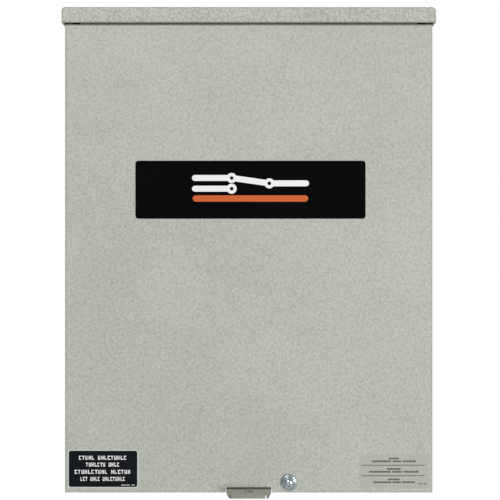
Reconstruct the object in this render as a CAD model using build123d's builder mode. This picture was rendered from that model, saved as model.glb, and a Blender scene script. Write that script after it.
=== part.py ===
from build123d import *
import math
import os

# Generator transfer switch in a rain-tight wall enclosure. Millimetres, +Z up.
# The wall is the plane y = 0, the front faces -Y, and the origin is the centre of
# the four wall holes. Every piece is modelled where it sits on the assembled switch.

# ---- Driving dimensions: the sheet-metal enclosure ----
SHEET = 2.0
WALL_HOLES_X = 317.5
WALL_HOLES_Z = 437.9
WALL_HOLE_R = 4.0
PAD_R = 14.0
PAD_RISE = 3.0
BOX_X = 182.8
BOX_FRONT = -166.0
BOX_TOP = 240.0
BOX_FLOOR = -238.3
BOX_RETURN = 12.0
COVER_X = 185.5
COVER_FRONT = -170.0
COVER_TOP = 228.0
COVER_BOTTOM = -245.0
COVER_FLANGE = 14.0
CAP_X = 188.0
CAP_TOP = 244.0
CAP_FRONT = -176.0
CAP_LIP = 228.4
BACK_OUTER = -PAD_RISE
BACK_INNER = BACK_OUTER - SHEET
BOX_UNDER = BOX_FLOOR - SHEET

# ---- Driving dimensions: the hinge, the captive screw and the hasp ----
HINGE_Y = BOX_FRONT
HINGE_Z = 224.1
HINGE_LENGTH = 340.0
HINGE_KNUCKLES = 17
HINGE_PIN_R = 1.0
HINGE_BORE_R = 1.08
HINGE_KNUCKLE_R = 1.9
HINGE_LEAF = 0.8
HINGE_LEAF_LOW = 205.0
HEADER_BACK = -158.0
SWING_LOW = 221.0
SCREW_X = 40.5
SCREW_Z = -234.5
SCREW_THREAD_R = 2.4
SCREW_TRAVEL = 4.0
HASP = 3.0
HASP_REACH = 30.0
HASP_HALF = 22.75
HASP_NOSE_HALF = 19.25
HASP_HOLE_R = 4.75
NOTCH_HALF = 23.5

# ---- Driving dimensions: the works on the subpanel ----
PANEL_FRONT = -11.0
PANEL_FEET = ((-142, -178), (142, -178), (-142, 178), (142, 178))
SHIELD_POSTS = ((-142, -197), (142, -197), (-142, 197), (142, 197))
SHIELD_Y = (-136.0, -133.0)
POLE_PITCH = 56.0
BREAKER_X = -15.0
POLES = (BREAKER_X - POLE_PITCH / 2, BREAKER_X + POLE_PITCH / 2)
BREAKER_Z = (62.0, 197.0)
BREAKER_MID = sum(BREAKER_Z) / 2
BREAKER_HALF = 52.0
TOGGLE_Y = -118.0
TOGGLE_TILT = 20.0
BAR_HALF = 9.0
BUS_Y = (-88.0, -84.0)
BUS_LOW = -20.0
ROTOR_Y = -75.0
ROTOR_Z = -90.0
ROTOR_TILT = 25.0
SHAFT_R = 6.0
ARM_REACH = 45.0
ARM_HALF = 4.0
LUG = 22.0
LUG_TALL = 26.0
LOAD_SHIFT = 22.0
COIL_X = -110.0
COIL_Y = -98.8
CRANK_REACH = 25.0
CAM_ECCENTRIC = 2.0
CAM_R = 12.0
CAM_GAP = 0.1
HANDLE_X = (52.0, 60.0)
HANDLE_REACH = 72.0
BOARD_X = (92.0, 150.0)
BOARD_Z = (-150.0, 0.0)
BOARD_FRONT = -113.6
BUTTON_X = 121.0
BUTTON_Z = -20.0


def block(x, y, z, mode=Mode.ADD):
    """A box from its (low, high) limits along each axis."""
    with Locations(((x[0] + x[1]) / 2, (y[0] + y[1]) / 2, (z[0] + z[1]) / 2)):
        Box(x[1] - x[0], y[1] - y[0], z[1] - z[0], mode=mode)


def rod_x(radius, x, y, z, mode=Mode.ADD):
    """A round bar along X, from x[0] to x[1]."""
    with Locations(((x[0] + x[1]) / 2, y, z)):
        Cylinder(radius, x[1] - x[0], rotation=(0, 90, 0), mode=mode)


def rod_y(radius, x, y, z, mode=Mode.ADD):
    """A round bar along Y, from y[0] to y[1]."""
    with Locations((x, (y[0] + y[1]) / 2, z)):
        Cylinder(radius, y[1] - y[0], rotation=(90, 0, 0), mode=mode)


def rod_z(radius, x, y, z, mode=Mode.ADD):
    """A round bar along Z, from z[0] to z[1]."""
    with Locations((x, y, (z[0] + z[1]) / 2)):
        Cylinder(radius, z[1] - z[0], mode=mode)


def hex_y(radius, x, y, z, mode=Mode.ADD):
    """A hexagonal bar along Y, radius to its corners."""
    with BuildSketch(Plane.XZ.offset(-y[1])) as hexagon:
        with Locations((x, z)):
            RegularPolygon(radius, 6)
    extrude(hexagon.sketch, amount=y[1] - y[0], mode=mode)


def swung(centre, reach, side, tilt):
    """The (y, z) point at a reach along an arm tilted up from -Y, and beside it."""
    angle = math.radians(tilt)
    return (
        centre[0] - reach * math.cos(angle) + side * math.sin(angle),
        centre[1] + reach * math.sin(angle) + side * math.cos(angle),
    )


def around(middle, half):
    """The (low, high) pair about a middle."""
    return (middle - half, middle + half)


# ---- Box: back and sides folded from one sheet, with raised pads at the wall holes ----
WALL_HOLES = [
    (sx * WALL_HOLES_X / 2, sz * WALL_HOLES_Z / 2) for sx in (-1, 1) for sz in (-1, 1)
]

with BuildPart() as enclosure_shell:
    with BuildSketch(Plane.XY.offset(BOX_FLOOR)):
        with Locations((0, (BOX_FRONT + BACK_OUTER) / 2)):
            Rectangle(2 * BOX_X, BACK_OUTER - BOX_FRONT)
            Rectangle(
                2 * (BOX_X - SHEET), BACK_OUTER - BOX_FRONT - 2 * SHEET, mode=Mode.SUBTRACT
            )
        with Locations((0, BOX_FRONT + SHEET / 2)):
            Rectangle(2 * (BOX_X - BOX_RETURN), SHEET, mode=Mode.SUBTRACT)
    extrude(amount=BOX_TOP - BOX_FLOOR)
    corners = enclosure_shell.edges().filter_by(Axis.Z).group_by(Axis.Y)[-1]
    fillet(corners, radius=2.5)
    # The front edges are cut back beside the header, where the cover's top edge swings in.
    block((-BOX_X, BOX_X), (BOX_FRONT, HEADER_BACK - SHEET), (SWING_LOW, BOX_TOP),
          mode=Mode.SUBTRACT)
    for hole_x, hole_z in WALL_HOLES:
        rod_y(PAD_R, hole_x, (BACK_INNER, 0), hole_z)
        rod_y(PAD_R - SHEET, hole_x, (BACK_INNER, -SHEET), hole_z, mode=Mode.SUBTRACT)
        rod_y(WALL_HOLE_R, hole_x, (-SHEET, 0), hole_z, mode=Mode.SUBTRACT)

# ---- Bottom panel: front lip, side flanges and punched conduit knockouts ----
KNOCKOUTS = ((-105, -75, (31.5, 22.5)), (0, -52, (22.5, 14.0)), (105, -75, (31.5, 22.5)))
KNOCKOUT_SLIT = 0.8
KNOCKOUT_TIE = 4.0
FLOOR_LIP_TOP = -226.0

with BuildPart() as enclosure_bottom:
    block((-BOX_X, BOX_X), (BOX_FRONT, BACK_OUTER), (BOX_UNDER, BOX_FLOOR))
    block((-170, 170), (BOX_FRONT, BOX_FRONT + SHEET), (BOX_FLOOR, FLOOR_LIP_TOP))
    for side in (-1, 1):
        inner = sorted((side * (BOX_X - SHEET), side * (BOX_X - 2 * SHEET)))
        block(inner, (-150, -20), (BOX_FLOOR, FLOOR_LIP_TOP))
    with BuildSketch(Plane.XY.offset(BOX_UNDER)):
        for knock_x, knock_y, radii in KNOCKOUTS:
            with Locations((knock_x, knock_y)):
                for radius in radii:
                    Circle(radius + KNOCKOUT_SLIT / 2)
                    Circle(radius - KNOCKOUT_SLIT / 2, mode=Mode.SUBTRACT)
                    Rectangle(2 * radius + 4, KNOCKOUT_TIE, mode=Mode.SUBTRACT)
    extrude(amount=SHEET, mode=Mode.SUBTRACT)
    rod_y(SCREW_THREAD_R + 1.0, SCREW_X, (BOX_FRONT, BOX_FRONT + SHEET), SCREW_Z,
          mode=Mode.SUBTRACT)
    for rivet_x in (-12, 12):
        rod_z(2.05, rivet_x, -140, (BOX_UNDER, BOX_FLOOR), mode=Mode.SUBTRACT)

# ---- Top panel with the header that carries the hinge ----
with BuildPart() as enclosure_top:
    block((-BOX_X, BOX_X), (BOX_FRONT, BACK_OUTER), (BOX_TOP, BOX_TOP + SHEET))
    block((-172, 172), (HEADER_BACK - SHEET, HEADER_BACK), (HINGE_LEAF_LOW, BOX_TOP))

# ---- Drip cap: a shallow lid over the top, with lips in front and at the sides ----
with BuildPart() as drip_cap:
    block((-CAP_X, CAP_X), (CAP_FRONT, BACK_OUTER), (CAP_LIP, CAP_TOP))
    crown = drip_cap.faces().sort_by(Axis.Z)[-1]
    fillet(crown.edges().filter_by(Axis.Y), radius=4.0)
    nose = drip_cap.faces().sort_by(Axis.Y)[0]
    fillet(nose.edges(), radius=1.9)
    block((-CAP_X + SHEET, CAP_X - SHEET), (CAP_FRONT + SHEET, BACK_OUTER),
          (CAP_LIP, CAP_TOP - SHEET), mode=Mode.SUBTRACT)

# ---- Hasp: a thick tab riveted under the floor, its nose out through the cover ----
HASP_TOP = BOX_UNDER
HASP_BACK = -120.0
HASP_TIP = COVER_FRONT - HASP_REACH
HASP_HOLE_Y = COVER_FRONT - 13.5

with BuildPart() as hasp_plate:
    with BuildSketch(Plane.XY.offset(HASP_TOP - HASP)) as hasp_outline:
        with BuildLine():
            Polyline(
                (-HASP_HALF, HASP_BACK), (-HASP_HALF, COVER_FRONT - 4),
                (-HASP_NOSE_HALF, HASP_TIP), (HASP_NOSE_HALF, HASP_TIP),
                (HASP_HALF, COVER_FRONT - 4), (HASP_HALF, HASP_BACK), close=True,
            )
        make_face()
        fillet(hasp_outline.vertices().group_by(Axis.Y)[0], radius=3.5)
        with Locations((0, HASP_HOLE_Y)):
            Circle(HASP_HOLE_R, mode=Mode.SUBTRACT)
        with Locations((-12, -140), (12, -140)):
            Circle(2.05, mode=Mode.SUBTRACT)
    extrude(amount=HASP)
    hole_rims = hasp_plate.edges().filter_by(GeomType.CIRCLE).filter_by(
        lambda rim: abs(rim.radius - HASP_HOLE_R) < 0.01)
    chamfer(hole_rims, length=0.5)

with BuildPart() as hasp_rivets:
    for rivet_x in (-12, 12):
        rod_z(2.0, rivet_x, -140, (HASP_TOP - HASP, BOX_FLOOR))
        rod_z(4.0, rivet_x, -140, (HASP_TOP - HASP - 1.2, HASP_TOP - HASP))
        rod_z(4.0, rivet_x, -140, (BOX_FLOOR, BOX_FLOOR + 1.2))

# ---- Weld nut behind the floor lip, for the cover screw ----
with BuildPart() as cover_weld_nut:
    block(around(SCREW_X, 5), (BOX_FRONT + SHEET, BOX_FRONT + SHEET + 4), (-238.2, -230.5))
    rod_y(SCREW_THREAD_R + 0.4, SCREW_X, (BOX_FRONT + SHEET, BOX_FRONT + SHEET + 4), SCREW_Z,
          mode=Mode.SUBTRACT)


# ---- Continuous hinge: alternating knuckles on a peened pin ----
def knuckle_spans(first):
    """The (low, high) X limits of every other knuckle, from the first one."""
    pitch = HINGE_LENGTH / HINGE_KNUCKLES
    starts = [-HINGE_LENGTH / 2 + n * pitch for n in range(first, HINGE_KNUCKLES, 2)]
    return [(start + 0.2, start + pitch - 0.2) for start in starts]


HINGE_SPAN = (-HINGE_LENGTH / 2, HINGE_LENGTH / 2)
HEADER_FRONT = HEADER_BACK - SHEET
LEAF_RUN = (HINGE_Z - HINGE_KNUCKLE_R, HINGE_Z - HINGE_KNUCKLE_R + HINGE_LEAF)

with BuildPart() as hinge_leaf_fixed:
    block(HINGE_SPAN, (HEADER_FRONT - HINGE_LEAF, HEADER_FRONT), (HINGE_LEAF_LOW, LEAF_RUN[1]))
    block(HINGE_SPAN, (HINGE_Y + 2.2, HEADER_FRONT), LEAF_RUN)
    for span in knuckle_spans(0):
        rod_x(HINGE_KNUCKLE_R, span, HINGE_Y, HINGE_Z)
        block(span, (HINGE_Y, HINGE_Y + 2.2), LEAF_RUN)
    rod_x(HINGE_BORE_R, HINGE_SPAN, HINGE_Y, HINGE_Z, mode=Mode.SUBTRACT)

COVER_INNER = COVER_FRONT + SHEET

with BuildPart() as hinge_leaf_cover:
    block(HINGE_SPAN, (COVER_INNER, COVER_INNER + HINGE_LEAF), (HINGE_LEAF_LOW, HINGE_Z - 2.2))
    for span in knuckle_spans(1):
        rod_x(HINGE_KNUCKLE_R, span, HINGE_Y, HINGE_Z)
        block(span, (COVER_INNER, COVER_INNER + HINGE_LEAF), (HINGE_Z - 2.2, HINGE_Z))
    rod_x(HINGE_BORE_R, HINGE_SPAN, HINGE_Y, HINGE_Z, mode=Mode.SUBTRACT)

with BuildPart() as hinge_pin:
    rod_x(HINGE_PIN_R, HINGE_SPAN, HINGE_Y, HINGE_Z)
    for side in (-1, 1):
        head = sorted((side * (HINGE_LENGTH / 2 - 0.2), side * (HINGE_LENGTH / 2 + 0.8)))
        rod_x(HINGE_KNUCKLE_R, head, HINGE_Y, HINGE_Z)

# ---- Front cover: a folded pan, notched for the hasp ----
with BuildPart() as front_cover:
    block((-COVER_X, COVER_X), (COVER_FRONT, COVER_FRONT + COVER_FLANGE),
          (COVER_BOTTOM, COVER_TOP))
    fillet(front_cover.faces().sort_by(Axis.Y)[0].edges(), radius=1.9)
    block((-COVER_X + SHEET, COVER_X - SHEET), (COVER_INNER, COVER_FRONT + COVER_FLANGE),
          (COVER_BOTTOM + SHEET, COVER_TOP), mode=Mode.SUBTRACT)
    block((-NOTCH_HALF, NOTCH_HALF), (COVER_FRONT, COVER_FRONT + COVER_FLANGE),
          (COVER_BOTTOM, BOX_UNDER + 1), mode=Mode.SUBTRACT)
    rod_y(3.6, SCREW_X, (COVER_FRONT, COVER_INNER), SCREW_Z, mode=Mode.SUBTRACT)

# ---- Foam gasket inside the cover: both sides and the bottom ----
GASKET = 1.6

with BuildPart() as cover_gasket:
    for side in (-1, 1):
        strip = sorted((side * 172, side * 182))
        block(strip, (COVER_INNER, COVER_INNER + GASKET), (-237, 200))
    block((-172, 172), (COVER_INNER, COVER_INNER + GASKET), (-237, -228))
    rod_y(8.0, SCREW_X, (COVER_INNER, COVER_INNER + GASKET), SCREW_Z, mode=Mode.SUBTRACT)

# ---- Nameplate and the two rating labels ----
NAMEPLATE_AT = (1.8, 60.8)
LEFT_LABEL_X = (-182.7, -111.1)
LEFT_LABEL_Z = (-240.2, -201.2)
RIGHT_LABEL_X = (111.9, 181.3)
RIGHT_LABEL_Z = (-240.3, -206.5)
LABEL = 0.2

with BuildPart() as nameplate:
    with BuildSketch(Plane.XZ.offset(-COVER_FRONT)):
        with Locations(NAMEPLATE_AT):
            RectangleRounded(232, 58.4, 3)
    extrude(amount=0.8)

with BuildPart() as label_left:
    block(LEFT_LABEL_X, (COVER_FRONT - LABEL, COVER_FRONT), LEFT_LABEL_Z)
    fillet(label_left.edges().filter_by(Axis.Y), radius=2.0)

with BuildPart() as label_right:
    block(RIGHT_LABEL_X, (COVER_FRONT - LABEL, COVER_FRONT), RIGHT_LABEL_Z)
    fillet(label_right.edges().filter_by(Axis.Y), radius=1.0)

# ---- Captive cover screw: retainer pressed in the cover, cup washer, necked screw ----
RETAINER_FLANGE = 0.8
WASHER = 1.6
RETAINER_BACK = COVER_INNER + 0.8
WASHER_BACK = COVER_FRONT - RETAINER_FLANGE
HEAD_BACK = WASHER_BACK - WASHER
HEAD_TALL = 4.8
NECK_R = 1.8
THREAD_START = RETAINER_BACK + SCREW_TRAVEL
THREAD_LENGTH = 3.2

with BuildPart() as screw_retainer:
    rod_y(6.0, SCREW_X, (WASHER_BACK, COVER_FRONT), SCREW_Z)
    rod_y(3.5, SCREW_X, (COVER_FRONT, RETAINER_BACK), SCREW_Z)
    rod_y(2.2, SCREW_X, (WASHER_BACK, RETAINER_BACK), SCREW_Z, mode=Mode.SUBTRACT)

with BuildPart() as captive_washer:
    rod_y(8.25, SCREW_X, (HEAD_BACK, WASHER_BACK), SCREW_Z)
    rim = captive_washer.faces().sort_by(Axis.Y)[0].edges()
    chamfer(rim, length=0.7)
    rod_y(2.2, SCREW_X, (HEAD_BACK, WASHER_BACK), SCREW_Z, mode=Mode.SUBTRACT)

with BuildPart() as captive_screw:
    rod_y(5.25, SCREW_X, (HEAD_BACK - HEAD_TALL, HEAD_BACK), SCREW_Z)
    fillet(captive_screw.faces().sort_by(Axis.Y)[0].edges(), radius=1.6)
    rod_y(NECK_R, SCREW_X, (HEAD_BACK, THREAD_START), SCREW_Z)
    rod_y(SCREW_THREAD_R, SCREW_X, (THREAD_START, THREAD_START + THREAD_LENGTH), SCREW_Z)
    recess = (HEAD_BACK - HEAD_TALL, HEAD_BACK - HEAD_TALL + 2.2)
    block(around(SCREW_X, 2.4), recess, around(SCREW_Z, 0.55), mode=Mode.SUBTRACT)
    block(around(SCREW_X, 0.55), recess, around(SCREW_Z, 2.4), mode=Mode.SUBTRACT)

# ---- Subpanel: a flat plate on four dimpled feet ----
FOOT_R = 9.0

with BuildPart() as subpanel:
    block((-150, 150), (PANEL_FRONT, PANEL_FRONT + SHEET), (-205, 205))
    for foot_x, foot_z in PANEL_FEET:
        rod_y(FOOT_R, foot_x, (PANEL_FRONT, BACK_INNER), foot_z)
        rod_y(FOOT_R - SHEET, foot_x, (PANEL_FRONT, BACK_INNER - SHEET), foot_z,
              mode=Mode.SUBTRACT)
        rod_y(2.8, foot_x, (BACK_INNER - SHEET, BACK_INNER), foot_z, mode=Mode.SUBTRACT)

POST_R = 5.0

with BuildPart() as shield_posts:
    for post_x, post_z in SHIELD_POSTS:
        rod_y(POST_R, post_x, (SHIELD_Y[1], PANEL_FRONT), post_z)
        rod_y(2.2, post_x, (SHIELD_Y[1], SHIELD_Y[1] + 12), post_z, mode=Mode.SUBTRACT)

# Screws of one kind through the shield into its posts, and bolts through the panel feet.
with BuildPart() as panel_screws:
    for post_x, post_z in SHIELD_POSTS:
        rod_y(5.5, post_x, (SHIELD_Y[0] - 3.5, SHIELD_Y[0]), post_z)
        rod_y(2.0, post_x, (SHIELD_Y[0], SHIELD_Y[0] + 12), post_z)
        slot_y = (SHIELD_Y[0] - 3.5, SHIELD_Y[0] - 2)
        block(around(post_x, 5.6), slot_y, around(post_z, 0.6), mode=Mode.SUBTRACT)
    for foot_x, foot_z in PANEL_FEET:
        hex_y(5.5, foot_x, (BACK_INNER - SHEET - 4, BACK_INNER - SHEET), foot_z)
        rod_y(2.6, foot_x, (BACK_INNER - SHEET, BACK_INNER), foot_z)

# ---- Clear safety shield over the live parts ----
with BuildPart() as safety_shield:
    block((-160, 160), SHIELD_Y, (-203, 203))
    fillet(safety_shield.edges().filter_by(Axis.Y), radius=6)
    block((BREAKER_X - 26, BREAKER_X + 26), SHIELD_Y, around(BREAKER_MID, 32.5),
          mode=Mode.SUBTRACT)
    block((HANDLE_X[0] - 2, HANDLE_X[1] + 2), SHIELD_Y, around(ROTOR_Z, 35),
          mode=Mode.SUBTRACT)
    rod_y(6, BUTTON_X, SHIELD_Y, BUTTON_Z, mode=Mode.SUBTRACT)
    for post_x, post_z in SHIELD_POSTS:
        rod_y(2.2, post_x, SHIELD_Y, post_z, mode=Mode.SUBTRACT)

# ---- Two-pole main breaker: bracket, moulded base and cover, toggle ----
BREAKER_SIDES = around(BREAKER_X, BREAKER_HALF)
CASE_BACK = -51.0
CASE_SPLIT = -88.0
CASE_FRONT = -125.0
CASE_WALL = 4.0
ESCUTCHEON_FRONT = SHIELD_Y[1]
TOGGLE_HALF = 10.0

with BuildPart() as breaker_bracket:
    block(BREAKER_SIDES, (CASE_BACK, CASE_BACK + SHEET), (74, 185))
    for side in (-1, 1):
        edge = BREAKER_X + side * BREAKER_HALF
        block(sorted((edge, edge - side * SHEET)), (CASE_BACK, PANEL_FRONT), (74, 185))
        block(sorted((edge - side * 12, edge)), (PANEL_FRONT - SHEET, PANEL_FRONT), (74, 185))

with BuildPart() as breaker_base:
    block(BREAKER_SIDES, (CASE_SPLIT, CASE_BACK), BREAKER_Z)
    fillet(breaker_base.edges().filter_by(Axis.Y), radius=2)
    block(around(BREAKER_X, BREAKER_HALF - CASE_WALL), (CASE_SPLIT, CASE_BACK - CASE_WALL),
          (BREAKER_Z[0] + CASE_WALL, BREAKER_Z[1] - CASE_WALL), mode=Mode.SUBTRACT)

with BuildPart() as breaker_cover:
    block(BREAKER_SIDES, (CASE_FRONT, CASE_SPLIT), BREAKER_Z)
    fillet(breaker_cover.edges().filter_by(Axis.Y), radius=2)
    fillet(breaker_cover.faces().sort_by(Axis.Y)[0].edges(), radius=1.5)
    block(around(BREAKER_X, BREAKER_HALF - CASE_WALL), (CASE_FRONT + CASE_WALL, CASE_SPLIT),
          (BREAKER_Z[0] + CASE_WALL, BREAKER_Z[1] - CASE_WALL), mode=Mode.SUBTRACT)
    block(around(BREAKER_X, 24), (ESCUTCHEON_FRONT, CASE_FRONT), around(BREAKER_MID, 30))
    for side in (-1, 1):
        boss = sorted((BREAKER_X + side * 11, BREAKER_X + side * 18))
        block(boss, (CASE_FRONT + CASE_WALL, TOGGLE_Y + 6), around(BREAKER_MID, 6))
    block(around(BREAKER_X, TOGGLE_HALF + 0.6), (ESCUTCHEON_FRONT, CASE_FRONT + CASE_WALL),
          around(BREAKER_MID, 13), mode=Mode.SUBTRACT)
    rod_x(2.6, around(BREAKER_X, 17), TOGGLE_Y, BREAKER_MID, mode=Mode.SUBTRACT)

TOGGLE_AT = (TOGGLE_Y, BREAKER_MID)
TOGGLE_REACH = 34.0

with BuildPart() as breaker_toggle:
    with BuildSketch(Plane.YZ.offset(BREAKER_X - TOGGLE_HALF)):
        with Locations(TOGGLE_AT):
            Circle(7)
        with Locations(swung(TOGGLE_AT, TOGGLE_REACH / 2, 0, TOGGLE_TILT)):
            Rectangle(TOGGLE_REACH, 10, rotation=-TOGGLE_TILT)
    extrude(amount=2 * TOGGLE_HALF)
    tip = breaker_toggle.faces().sort_by(Axis.Y)[0].edges()
    fillet(tip, radius=2)
    rod_x(2.5, around(BREAKER_X, 16.5), TOGGLE_Y, BREAKER_MID)

# ---- Copper: bars from the breaker down to the fixed utility contacts ----
LINE_TANG_TOP = 225.0

with BuildPart() as utility_busbars:
    for pole in POLES:
        block(around(pole, BAR_HALF), BUS_Y, (BUS_LOW, BREAKER_Z[0]))
        block(around(pole, BAR_HALF), BUS_Y, (BREAKER_Z[1], LINE_TANG_TOP))
        rod_y(3.2, pole, BUS_Y, BREAKER_Z[0] - 12, mode=Mode.SUBTRACT)

# ---- Transfer mechanism: moulded base and the steel side frames with the bearings ----
ROTOR = (ROTOR_Y, ROTOR_Z)
BASE_FRONT = -31.0
LOAD_BAR_Y = (-50.0, -46.0)
RISER_Y = (-106.0, -102.0)
FRAMES_X = ((-80.0, -77.0), (47.0, 50.0))

with BuildPart() as switch_base:
    block((-75, 45), (BASE_FRONT, PANEL_FRONT), (-158, BUS_LOW))
    fillet(switch_base.edges().filter_by(Axis.Y), radius=4)
    for pole in POLES:
        block(around(pole, 7), (LOAD_BAR_Y[1], BASE_FRONT), (-110, -84))
        block(around(pole, 7), (BUS_Y[1], BASE_FRONT), (-36, BUS_LOW))
        block(around(pole, 7), (RISER_Y[1], BASE_FRONT), (-150, -138))

with BuildPart() as side_frames:
    for frame_x in FRAMES_X:
        outside = math.copysign(12, frame_x[0])
        foot = sorted((frame_x[0], frame_x[0] + outside))
        block(frame_x, (-108, PANEL_FRONT), (-150, -30))
        block(foot, (PANEL_FRONT - SHEET, PANEL_FRONT), (-150, -30))
        rod_x(SHAFT_R + 0.08, frame_x, ROTOR_Y, ROTOR_Z, mode=Mode.SUBTRACT)

# ---- Rotor: shaft, insulating sleeves and the swinging contact arms ----
DRUM_R = 16.0
SLEEVE_R = 12.0
BUTTON_RISE = 1.6

with BuildPart() as rotor_shaft:
    rod_x(SHAFT_R, (-102, 74), ROTOR_Y, ROTOR_Z)
    chamfer(rotor_shaft.edges().filter_by(GeomType.CIRCLE), length=0.8)

with BuildPart() as rotor_insulators:
    for pole in POLES:
        rod_x(SLEEVE_R, around(pole, 20), ROTOR_Y, ROTOR_Z)
        rod_x(SHAFT_R, around(pole, 20), ROTOR_Y, ROTOR_Z, mode=Mode.SUBTRACT)

with BuildPart() as moving_contacts:
    for pole in POLES:
        with BuildSketch(Plane.YZ.offset(pole - BAR_HALF)):
            with Locations(ROTOR):
                Circle(DRUM_R)
            with Locations(swung(ROTOR, ARM_REACH / 2, 0, ROTOR_TILT)):
                Rectangle(ARM_REACH, 2 * ARM_HALF, rotation=-ROTOR_TILT)
            with Locations(swung(ROTOR, ARM_REACH - 6, 0, ROTOR_TILT)):
                Rectangle(10, 2 * (ARM_HALF + BUTTON_RISE), rotation=-ROTOR_TILT)
            with Locations(ROTOR):
                Circle(SLEEVE_R, mode=Mode.SUBTRACT)
        extrude(amount=2 * BAR_HALF)

# ---- Fixed contacts: pads that meet the arm at each end of its swing ----
PAD_GAP = 0.4
PAD_THICK = 4.0
PAD_SIDE = ARM_HALF + BUTTON_RISE + PAD_GAP + PAD_THICK / 2
PAD_MIDDLE = swung(ROTOR, ARM_REACH - 6.5, PAD_SIDE, ROTOR_TILT)
RISER_MID = sum(RISER_Y) / 2
LUG_LOW = -188.0

with BuildPart() as utility_contacts:
    for pole in POLES:
        with BuildSketch(Plane.YZ.offset(pole - BAR_HALF)):
            with Locations(PAD_MIDDLE):
                Rectangle(15, PAD_THICK, rotation=-ROTOR_TILT)
            with Locations((RISER_MID, (BUS_LOW - 66) / 2)):
                Rectangle(4, BUS_LOW + 66)
            with Locations(((RISER_Y[0] + BUS_Y[1]) / 2, BUS_LOW - 2)):
                Rectangle(BUS_Y[1] - RISER_Y[0], 4)
        extrude(amount=2 * BAR_HALF)

LOW_RISER_TOP = 2 * ROTOR_Z + 66

with BuildPart() as generator_contacts:
    for pole in POLES:
        with BuildSketch(Plane.YZ.offset(pole - BAR_HALF)):
            with Locations((PAD_MIDDLE[0], 2 * ROTOR_Z - PAD_MIDDLE[1])):
                Rectangle(15, PAD_THICK, rotation=ROTOR_TILT)
            with Locations((RISER_MID, (LUG_LOW + LOW_RISER_TOP) / 2)):
                Rectangle(4, LOW_RISER_TOP - LUG_LOW)
        extrude(amount=2 * BAR_HALF)

# ---- Load jaws: a saddle on each drum, and a cranked bar down to its lug ----
with BuildPart() as load_jaws:
    for pole in POLES:
        load_x = pole + LOAD_SHIFT
        block(around(pole, BAR_HALF), (-62, LOAD_BAR_Y[1]), around(ROTOR_Z, 8))
        block(around(pole, BAR_HALF), LOAD_BAR_Y, (-124, ROTOR_Z))
        block((pole - BAR_HALF, load_x + BAR_HALF), LOAD_BAR_Y, (-124, -112))
        block(around(load_x, BAR_HALF), LOAD_BAR_Y, (LUG_LOW, -112))
        rod_x(DRUM_R + 0.3, around(pole, BAR_HALF), ROTOR_Y, ROTOR_Z, mode=Mode.SUBTRACT)

# ---- Cable lugs: line side on the breaker, generator and load sides at the bottom ----
LUGS = []
for pole in POLES:
    LUGS.append((pole, BUS_Y[0], LINE_TANG_TOP - LUG_TALL))
    LUGS.append((pole, RISER_Y[0], LUG_LOW))
    LUGS.append((pole + LOAD_SHIFT, LOAD_BAR_Y[0], LUG_LOW))
LUG_SCREW_R = 4.5

with BuildPart() as cable_lugs:
    for lug_x, lug_back, lug_low in LUGS:
        lug_y = (lug_back - LUG, lug_back)
        lug_z = (lug_low, lug_low + LUG_TALL)
        block(around(lug_x, LUG / 2), lug_y, lug_z)
        rod_z(7, lug_x, lug_back - LUG / 2, lug_z, mode=Mode.SUBTRACT)
        rod_y(LUG_SCREW_R + 0.1, lug_x, (lug_y[0], lug_y[0] + 6), sum(lug_z) / 2,
              mode=Mode.SUBTRACT)

# ---- Arc chutes: fibre cheeks and steel splitter plates before each arm ----
CHEEK = 1.6
CHUTE_HALF = 14.0
CHUTE_PLATES = 6

with BuildPart() as arc_chutes:
    for pole in POLES:
        for side in (-1, 1):
            wall = sorted((pole + side * (CHUTE_HALF - CHEEK), pole + side * CHUTE_HALF))
            block(wall, (-131, -98), around(ROTOR_Z, 34))
        for plate in range(CHUTE_PLATES):
            height = ROTOR_Z + (plate - (CHUTE_PLATES - 1) / 2) * 10
            block(around(pole, CHUTE_HALF - CHEEK), (-131, -122.5), around(height, 0.6))

# ---- Solenoid pair: one plunger pulled up by the upper coil, down by the lower ----
COIL_R = 22.0
CORE_R = 7.5
COIL_BORE_R = 8.5
COILS_Z = ((-61.0, -13.0), (-167.0, -119.0))
FRAME_PLATE = 3.0
FRAME_SIDE = (-137.0, -134.0)
CRANK_LIFT = CRANK_REACH * math.sin(math.radians(ROTOR_TILT))
PIN_R = 3.5

with BuildPart() as solenoid_frame:
    frame_z = (COILS_Z[1][0] - FRAME_PLATE, COILS_Z[0][1] + FRAME_PLATE)
    block(FRAME_SIDE, (-122, PANEL_FRONT), frame_z)
    block((FRAME_SIDE[0], FRAME_SIDE[1] + 16), (PANEL_FRONT - FRAME_PLATE, PANEL_FRONT), frame_z)
    for coil_z in COILS_Z:
        for shelf in ((coil_z[0] - FRAME_PLATE, coil_z[0]), (coil_z[1], coil_z[1] + FRAME_PLATE)):
            block((FRAME_SIDE[0], -86), (-122, -76), shelf)
            rod_z(COIL_BORE_R, COIL_X, COIL_Y, shelf, mode=Mode.SUBTRACT)

with BuildPart() as solenoid_coils:
    for coil_z in COILS_Z:
        rod_z(COIL_R, COIL_X, COIL_Y, coil_z)
        waist = (coil_z[0] + 3, coil_z[1] - 3)
        rod_z(COIL_R, COIL_X, COIL_Y, waist, mode=Mode.SUBTRACT)
        rod_z(COIL_R - 1.5, COIL_X, COIL_Y, waist)
        rod_z(COIL_BORE_R, COIL_X, COIL_Y, coil_z, mode=Mode.SUBTRACT)

YOKE_X = (-116.0, -104.0)
YOKE_TALL = 18.0
ROD_HALF = 50.0

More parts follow.
